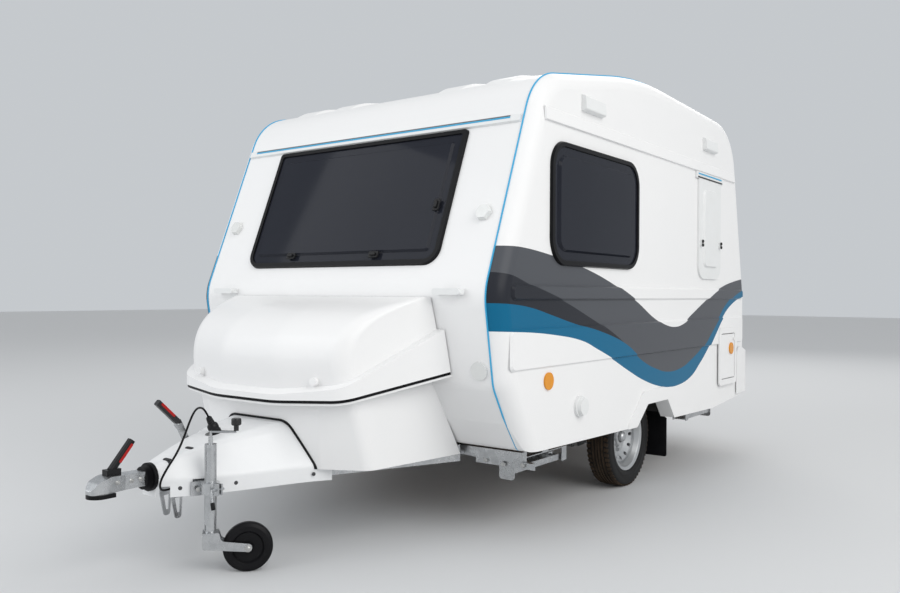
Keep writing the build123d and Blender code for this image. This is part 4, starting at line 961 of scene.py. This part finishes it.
@dataclass
class Tyre(Fittings):
    """Road tyre with ribs, grooves and shoulder blocks on its tread, in place of a plain one.

    The rows of its wall and rib are the radius and the place across of each corner.
    """

    side: Side
    across: float = 0.810
    along: float = 1.626
    radius: float = 0.285
    steps: int = 96
    wall: Rows = (
        (0.180, 0.0490), (0.1942, 0.0545), (0.1965, 0.0640), (0.2050, 0.0690), (0.2190, 0.0716),
        (0.2200, 0.0727), (0.2235, 0.0729), (0.2250, 0.0722), (0.2430, 0.0728), (0.2600, 0.0718),
        (0.2680, 0.0700), (0.2735, 0.0660), (0.2775, 0.0590), (0.2788, 0.0400), (0.2788, 0.0050),
    )
    rib: Rows = (
        (0.2770, 0.0002), (0.2842, 0.0008), (0.2850, 0.0018), (0.2850, 0.0112), (0.2842, 0.0122),
        (0.2770, 0.0128),
    )
    rib_places: tuple[float, ...] = (-0.0350, -0.0152, 0.0022, 0.0222)
    block: Flat = Flat(wide=0.0255, high=0.0205, thick=0.0062, corner=0.003, edge=0.0008)
    blocks: int = 58
    block_foot: float = 0.2775
    block_across: float = 0.0535
    block_lean: float = 0.10
    block_slant: float = 0.25
    stagger: float = 0.25  # share of a block's step that either shoulder is turned by

    def spun(self, section: list[tuple[float, float]], closed: bool) -> Object:
        """Spin a section round the axle.

        Args:
            section: Place across and radius of each corner.
            closed: Whether the last corner joins the first.

        Returns:
            The ring, its middle at the origin.
        """
        clear_selection()
        bpy.ops.mesh.primitive_plane_add(size=0.01)
        ring = bpy.context.object
        begin_edit(ring, "VERT")
        bpy.ops.mesh.merge(type="CENTER")
        bpy.ops.transform.translate(value=(section[0][0], 0, section[0][1]))
        rows = section + section[:1] if closed else section
        for (x0, r0), (x1, r1) in zip(rows, rows[1:]):
            bpy.ops.mesh.extrude_vertices_move(TRANSFORM_OT_translate={"value": (x1 - x0, 0, r1 - r0)})
        bpy.ops.mesh.select_all(action="SELECT")
        bpy.ops.mesh.spin(steps=self.steps, angle=math.tau, center=(0, 0, 0), axis=(1, 0, 0))
        bpy.ops.mesh.select_all(action="SELECT")
        bpy.ops.mesh.remove_doubles(threshold=0.00002)
        end_edit()
        return ring

    def block_spots(self) -> list[Spot]:
        """Give the spots of the blocks round both shoulders.

        Returns:
            The spots, one step of both shoulders after another.
        """
        spots = []
        for step in range(self.blocks):
            for edge in (-1, 1):
                turn = math.tau * (step + self.stagger * edge) / self.blocks
                sine, cosine = math.sin(turn), math.cos(turn)
                place = (
                    self.side.value * self.across + edge * self.block_across,
                    self.along + self.block_foot * sine,
                    self.radius + self.block_foot * cosine,
                )
                up = (edge * self.block_slant, cosine, -sine)
                spots.append(Spot(place, (edge * self.block_lean, sine, cosine), up))
        return spots

    def build(self) -> None:
        """Build the carcass, the ribs and the shoulder blocks."""
        name = f"tyre_{self.side.name.lower()}"
        wheel = f"wheel_{self.side.name.lower()}"
        x = self.side.value * self.across
        hub = Spot((x, self.along, self.radius), UPWARD, BACKWARD)
        section = [(-x, r) for r, x in self.wall] + [(x, r) for r, x in reversed(self.wall)]
        ring = self.spun(section, closed=False)
        carcass = self.add(ring, f"{name}_carcass", [hub], "tyre", "tyre_rubber", wheel)
        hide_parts(name)
        rib = self.spun([(x, r) for r, x in self.rib], closed=True)
        spots = [Spot((x + shift, *hub.place[1:]), hub.out, hub.up) for shift in self.rib_places]
        self.add(rib, f"{name}_ribs", spots, "tread", "tyre_rubber", wheel)
        block = plate(self.block)
        self.add(block, f"{name}_shoulder_blocks", self.block_spots(), "tread", "tyre_rubber", wheel)


@dataclass
class JockeyFittings(Fittings):
    """Axle ends of the jockey wheel, bolts of its clamp and the dark end of the clamp handle."""

    axle: Point = (0.2943, -0.7460, 0.100)
    half_axle: float = 0.0322
    swivel: float = 50.4
    axle_end: Rows = (
        (0.014, 0.0), (0.0145, 0.0012), (0.0145, 0.003), (0.0095, 0.0034), (0.0095, 0.009),
        (0.007, 0.0105),
    )
    clamp_bolts: tuple[Point, ...] = ((0.1555, -0.886, 0.337), (0.185, -0.830, 0.337))
    clamp_out: Point = (1.0, -0.455, 0.0)
    bolt: Rows = ((0.010, 0.0), (0.0105, 0.001), (0.0105, 0.006), (0.0085, 0.0075), (0.004, 0.0075))
    handle_top: Point = (0.252, -0.898, 0.349)
    handle_way: Point = (0.014, 0.0, -0.066)
    grip_from: float = 0.048
    grip: Rows = ((0.0060, 0.0), (0.0085, 0.002), (0.0088, 0.026), (0.0070, 0.030), (0.003, 0.030))

    def build(self) -> None:
        """Build the small fittings."""
        turn = math.radians(self.swivel)
        out = Vector((math.sin(turn), -math.cos(turn), 0))
        spots = []
        for way in (1, -1):
            place = Vector(self.axle) + out * (self.half_axle * way)
            spots.append(Spot(tuple(place), tuple(out * way)))
        ends = lathe(self.axle_end, sides=24)
        self.add(ends, "jockey_axle_ends", spots, "bright_zinc", "galvanised", "jockey_fork")
        spots = [Spot(place, self.clamp_out) for place in self.clamp_bolts]
        self.add(lathe(self.bolt, sides=6), "clamp_bolts", spots, "bright_zinc", "galvanised")
        down = Vector(self.handle_way).normalized()
        start = Vector(self.handle_top) + down * self.grip_from
        spot = Spot(tuple(start), tuple(down), BACKWARD)
        self.add(lathe(self.grip, sides=20), "clamp_handle_grip", [spot])


@dataclass
class PlugSleeve(Fittings):
    """Ribbed sleeve round the towing plug, with the flap at its mouth.

    The rows of a rib are how far it stands proud, and the height above its foot.
    """

    tail: Point = (0.000, -0.720, 0.596)
    before: Point = (0.004, -0.742, 0.632)
    root: tuple[float, float] = (0.0096, 0.002)
    ribs: int = 5
    rib: Rows = ((0.0, 0.0), (0.0016, 0.0012), (0.0016, 0.0036), (0.0, 0.0048))
    first_rib: float = 0.004
    pitch: float = 0.0062
    radius: float = 0.0108
    widening: float = 0.0007
    mouth: Rows = ((0.0135, 0.0365), (0.0225, 0.0450), (0.0236, 0.0480), (0.0242, 0.0600), (0.0205, 0.0606))

    def build(self) -> Object:
        """Build the sleeve.

        Returns:
            The sleeve.
        """
        axis = (Vector(self.tail) - Vector(self.before)).normalized()
        rows = [self.root]
        for step in range(self.ribs):
            foot = self.first_rib + step * self.pitch
            wide = self.radius + step * self.widening
            rows += [(wide + proud, foot + above) for proud, above in self.rib]
        sleeve = lathe((*rows, *self.mouth), sides=28)
        return self.add(sleeve, "plug_sleeve", [Spot(self.tail, tuple(axis), ACROSS)])


@dataclass
class SeatPads(Fittings):
    """Three stuffed cushions along the front bench, in place of one plain solid."""

    low: Point = (-0.947, 0.433, 0.7655)
    high: Point = (0.947, 0.897, 0.862)
    count: int = 3
    gap: float = 0.012
    soft_edge: float = 0.022
    voxel: float = 0.009
    swell: float = 0.009
    pressure: float = 4.0
    steps: int = 20

    def shape(self, index: int) -> Object:
        """Shape one cushion before it is filled: a soft-edged block, smaller by its swell.

        Args:
            index: Its place along the bench.

        Returns:
            The cushion.
        """
        length, deep, tall = (high - low for low, high in zip(self.low, self.high))
        wide = (length - self.gap * (self.count - 1)) / self.count
        clear_selection()
        bpy.ops.mesh.primitive_cube_add(size=1)
        pad = bpy.context.object
        pad.name = f"seat_pad_{index + 1}"
        begin_edit(pad)
        size = (wide - 2 * self.swell, deep - 2 * self.swell, tall - self.swell)
        bpy.ops.transform.resize(value=size)
        bpy.ops.mesh.bevel(offset=self.soft_edge, segments=3, affect="EDGES")
        bpy.ops.mesh.select_all(action="SELECT")
        x, y, z = self.low
        place = (x + wide / 2 + index * (wide + self.gap), y + deep / 2 - MIDDLE, z + size[2] / 2)
        bpy.ops.transform.translate(value=place)
        end_edit()
        return pad

    def fill(self, pad: Object) -> None:
        """Swell one cushion as stuffed cloth and keep its underside on the bench.

        Args:
            pad: The cushion.
        """
        remesh = pad.modifiers.new("even", "REMESH")
        remesh.mode = "VOXEL"
        remesh.voxel_size = self.voxel
        select_alone(pad)
        bpy.ops.object.modifier_apply(modifier="even")
        rest = [point.co.copy() for point in pad.data.vertices]
        cloth = pad.modifiers.new("stuffing", "CLOTH")
        cloth.settings.use_pressure = True
        cloth.settings.uniform_pressure_force = self.pressure
        cloth.settings.effector_weights.gravity = 0.0
        for frame in range(1, self.steps + 1):
            bpy.context.scene.frame_set(frame)
        bpy.ops.object.modifier_apply(modifier="stuffing")
        bpy.context.scene.frame_set(1)
        for point, start in zip(pad.data.vertices, rest):
            move = point.co - start
            if move.length > self.swell:
                move = move.normalized() * self.swell
            point.co = start + move
            point.co.z = max(point.co.z, self.low[2])
        finer = pad.modifiers.new("finer", "SUBSURF")
        finer.levels = finer.render_levels = 1
        bpy.ops.object.modifier_apply(modifier="finer")

    def build(self) -> None:
        """Build the cushions."""
        for index in range(self.count):
            pad = self.shape(index)
            self.fill(pad)
            bpy.ops.object.shade_smooth()
            self.show(pad, "fabric", "seat_fabric")
            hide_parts("seat_cushion")


@dataclass
class TowingCable(Fittings):
    """Cable from under the drawbar cover to the parked plug."""

    diameter: float = 0.009
    route: tuple[Point, ...] = (
        (0.052, -0.900, 0.338), (0.062, -0.955, 0.336), (0.080, -1.008, 0.342), (0.106, -1.030, 0.384),
        (0.118, -1.002, 0.440), (0.108, -0.950, 0.490), (0.090, -0.905, 0.548), (0.064, -0.862, 0.598),
        (0.040, -0.822, 0.634), (0.018, -0.782, 0.646), (0.004, -0.742, 0.632), (0.000, -0.720, 0.596),
    )

    def build(self, sleeve: Object) -> Object:
        """Draw the cable as one smooth curve.

        Args:
            sleeve: Sleeve of the plug at its end; not used.

        Returns:
            The cable.
        """
        data = bpy.data.curves.new("towing_cable_line", "CURVE")
        data.dimensions = "3D"
        data.bevel_depth = self.diameter / 2
        data.bevel_resolution = 4
        data.resolution_u = 12
        data.use_fill_caps = True
        spline = data.splines.new("NURBS")
        spline.points.add(len(self.route) - 1)
        for point, (x, y, z) in zip(spline.points, self.route):
            point.co = (x, y - MIDDLE, z, 1)
        spline.order_u = 3
        spline.use_endpoint_u = True
        cable = bpy.data.objects.new("towing_cable_flex", data)
        bpy.context.collection.objects.link(cable)
        self.wardrobe.dress(cable, "rubber")
        x, y, z = self.route[0]
        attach(cable, "caravan_body")
        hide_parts("towing_cable")
        return cable


@dataclass(frozen=True)
class Lamp:
    """Square soft lamp, and the point that it faces."""

    name: str
    place: Point
    aim: Point
    size: float
    power: float
    colour: Point

    def hang(self) -> None:
        """Hang the lamp and aim it."""
        data = bpy.data.lights.new(self.name, "AREA")
        data.shape = "SQUARE"
        data.size = self.size
        data.energy = self.power
        data.color = self.colour
        lamp = bpy.data.objects.new(self.name, data)
        bpy.context.collection.objects.link(lamp)
        lamp.location = self.place
        way = Vector(self.aim) - Vector(self.place)
        lamp.rotation_euler = way.to_track_quat("-Z", "Y").to_euler()


@dataclass
class Studio:
    """Floor, light and camera."""

    eye: Point = (2.971, -2.978 - MIDDLE, 1.130)
    azimuth: float = 36.63
    tilt: float = 0.166
    roll: float = 0.3176
    lens: float = 33.333
    sensor: float = 36.0
    floor_size: float = 90.0
    floor_colour: Point = (0.62, 0.63, 0.64)
    floor_roughness: float = 0.75
    backdrop: Point = (0.56, 0.585, 0.61)
    sky: Point = (0.97, 0.985, 1.0)
    sky_strength: float = 0.68
    lamps: tuple[Lamp, ...] = (
        Lamp("key", (9.5, -2.5, 6.5), (0.0, 0.2, 0.9), size=8.0, power=600, colour=(1.0, 0.985, 0.96)),
        Lamp("fill", (-5.0, -9.0, 5.0), (0.0, -0.5, 1.0), size=9.0, power=400, colour=(0.97, 0.985, 1.0)),
        Lamp("back", (-2.5, 9.5, 7.5), (0.0, 0.5, 1.4), size=7.0, power=260, colour=(1.0, 0.985, 0.96)),
    )

    def build(self) -> None:
        """Build the camera, the world, the lamps and the floor."""
        self.build_camera()
        self.build_world()
        for lamp in self.lamps:
            lamp.hang()
        self.build_floor()
        bpy.context.scene.view_settings.view_transform = "Standard"

    def build_camera(self) -> None:
        """Stand the camera where the photograph was taken from."""
        turn = math.radians(self.azimuth)
        drop = math.radians(self.tilt)
        lean = math.radians(self.roll)
        right = Vector((math.cos(turn), math.sin(turn), 0))
        ahead = Vector((-math.sin(turn) * math.cos(drop), math.cos(turn) * math.cos(drop), -math.sin(drop)))
        up = right.cross(ahead)
        across = right * math.cos(lean) + up * math.sin(lean)
        above = up * math.cos(lean) - right * math.sin(lean)
        data = bpy.data.cameras.new("camera")
        data.lens = self.lens
        data.sensor_width = self.sensor
        camera = bpy.data.objects.new("camera", data)
        bpy.context.collection.objects.link(camera)
        basis = Matrix((across, above, -ahead)).transposed().to_4x4()
        camera.matrix_world = Matrix.Translation(self.eye) @ basis
        bpy.context.scene.camera = camera

    def build_world(self) -> None:
        """Light the scene evenly, and show a pale backdrop to the camera and in gloss."""
        world = bpy.data.worlds.new("studio")
        world.use_nodes = True
        tree = world.node_tree
        tree.nodes.clear()
        paths = place_node(tree, "LightPath").outputs
        gloss = maths(tree, "MAXIMUM", paths["Is Glossy Ray"], paths["Is Transmission Ray"])
        seen = maths(tree, "MAXIMUM", paths["Is Camera Ray"], gloss)
        values = {"Color": (*self.sky, 1), "Strength": self.sky_strength}
        light = place_node(tree, "Background", values).outputs[0]
        shown = place_node(tree, "Background", {"Color": (*self.backdrop, 1)}).outputs[0]
        both = place_node(tree, "MixShader", {0: seen, 1: light, 2: shown})
        place_node(tree, "OutputWorld", {"Surface": both.outputs[0]})
        bpy.context.scene.world = world

    def build_floor(self) -> None:
        """Lay the pale floor."""
        clear_selection()
        bpy.ops.mesh.primitive_plane_add(size=self.floor_size, location=(0, 0, 0))
        floor = bpy.context.object
        floor.name = "studio_floor"
        material = bpy.data.materials.new("studio floor")
        material.use_nodes = True
        shader = material.node_tree.nodes["Principled BSDF"]
        shader.inputs["Base Color"].default_value = (*self.floor_colour, 1)
        shader.inputs["Roughness"].default_value = self.floor_roughness
        floor.data.materials.append(material)


def main() -> None:
    """Build the looks of the caravan, piece by piece."""
    logging.basicConfig(level=logging.INFO, format="%(message)s")
    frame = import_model()
    clear_selection()
    Studio().build()
    wardrobe = Wardrobe()
    sleeve = PlugSleeve(wardrobe).build()
    log.info("built %s", TowingCable(wardrobe).build(sleeve).name)
    wardrobe.dress_nodes(frame["nodes"])
    for side in Side:
        Tyre(wardrobe, side).build()
    small = (WindowFittings, RailInlays, HatchCatches, CoverFixings, GripInlays, CouplingFixings)
    for assembly in (*small, SteadyFixings, JockeyFittings, SeatPads):
        assembly(wardrobe).build()


if __name__ == "__main__":
    main()
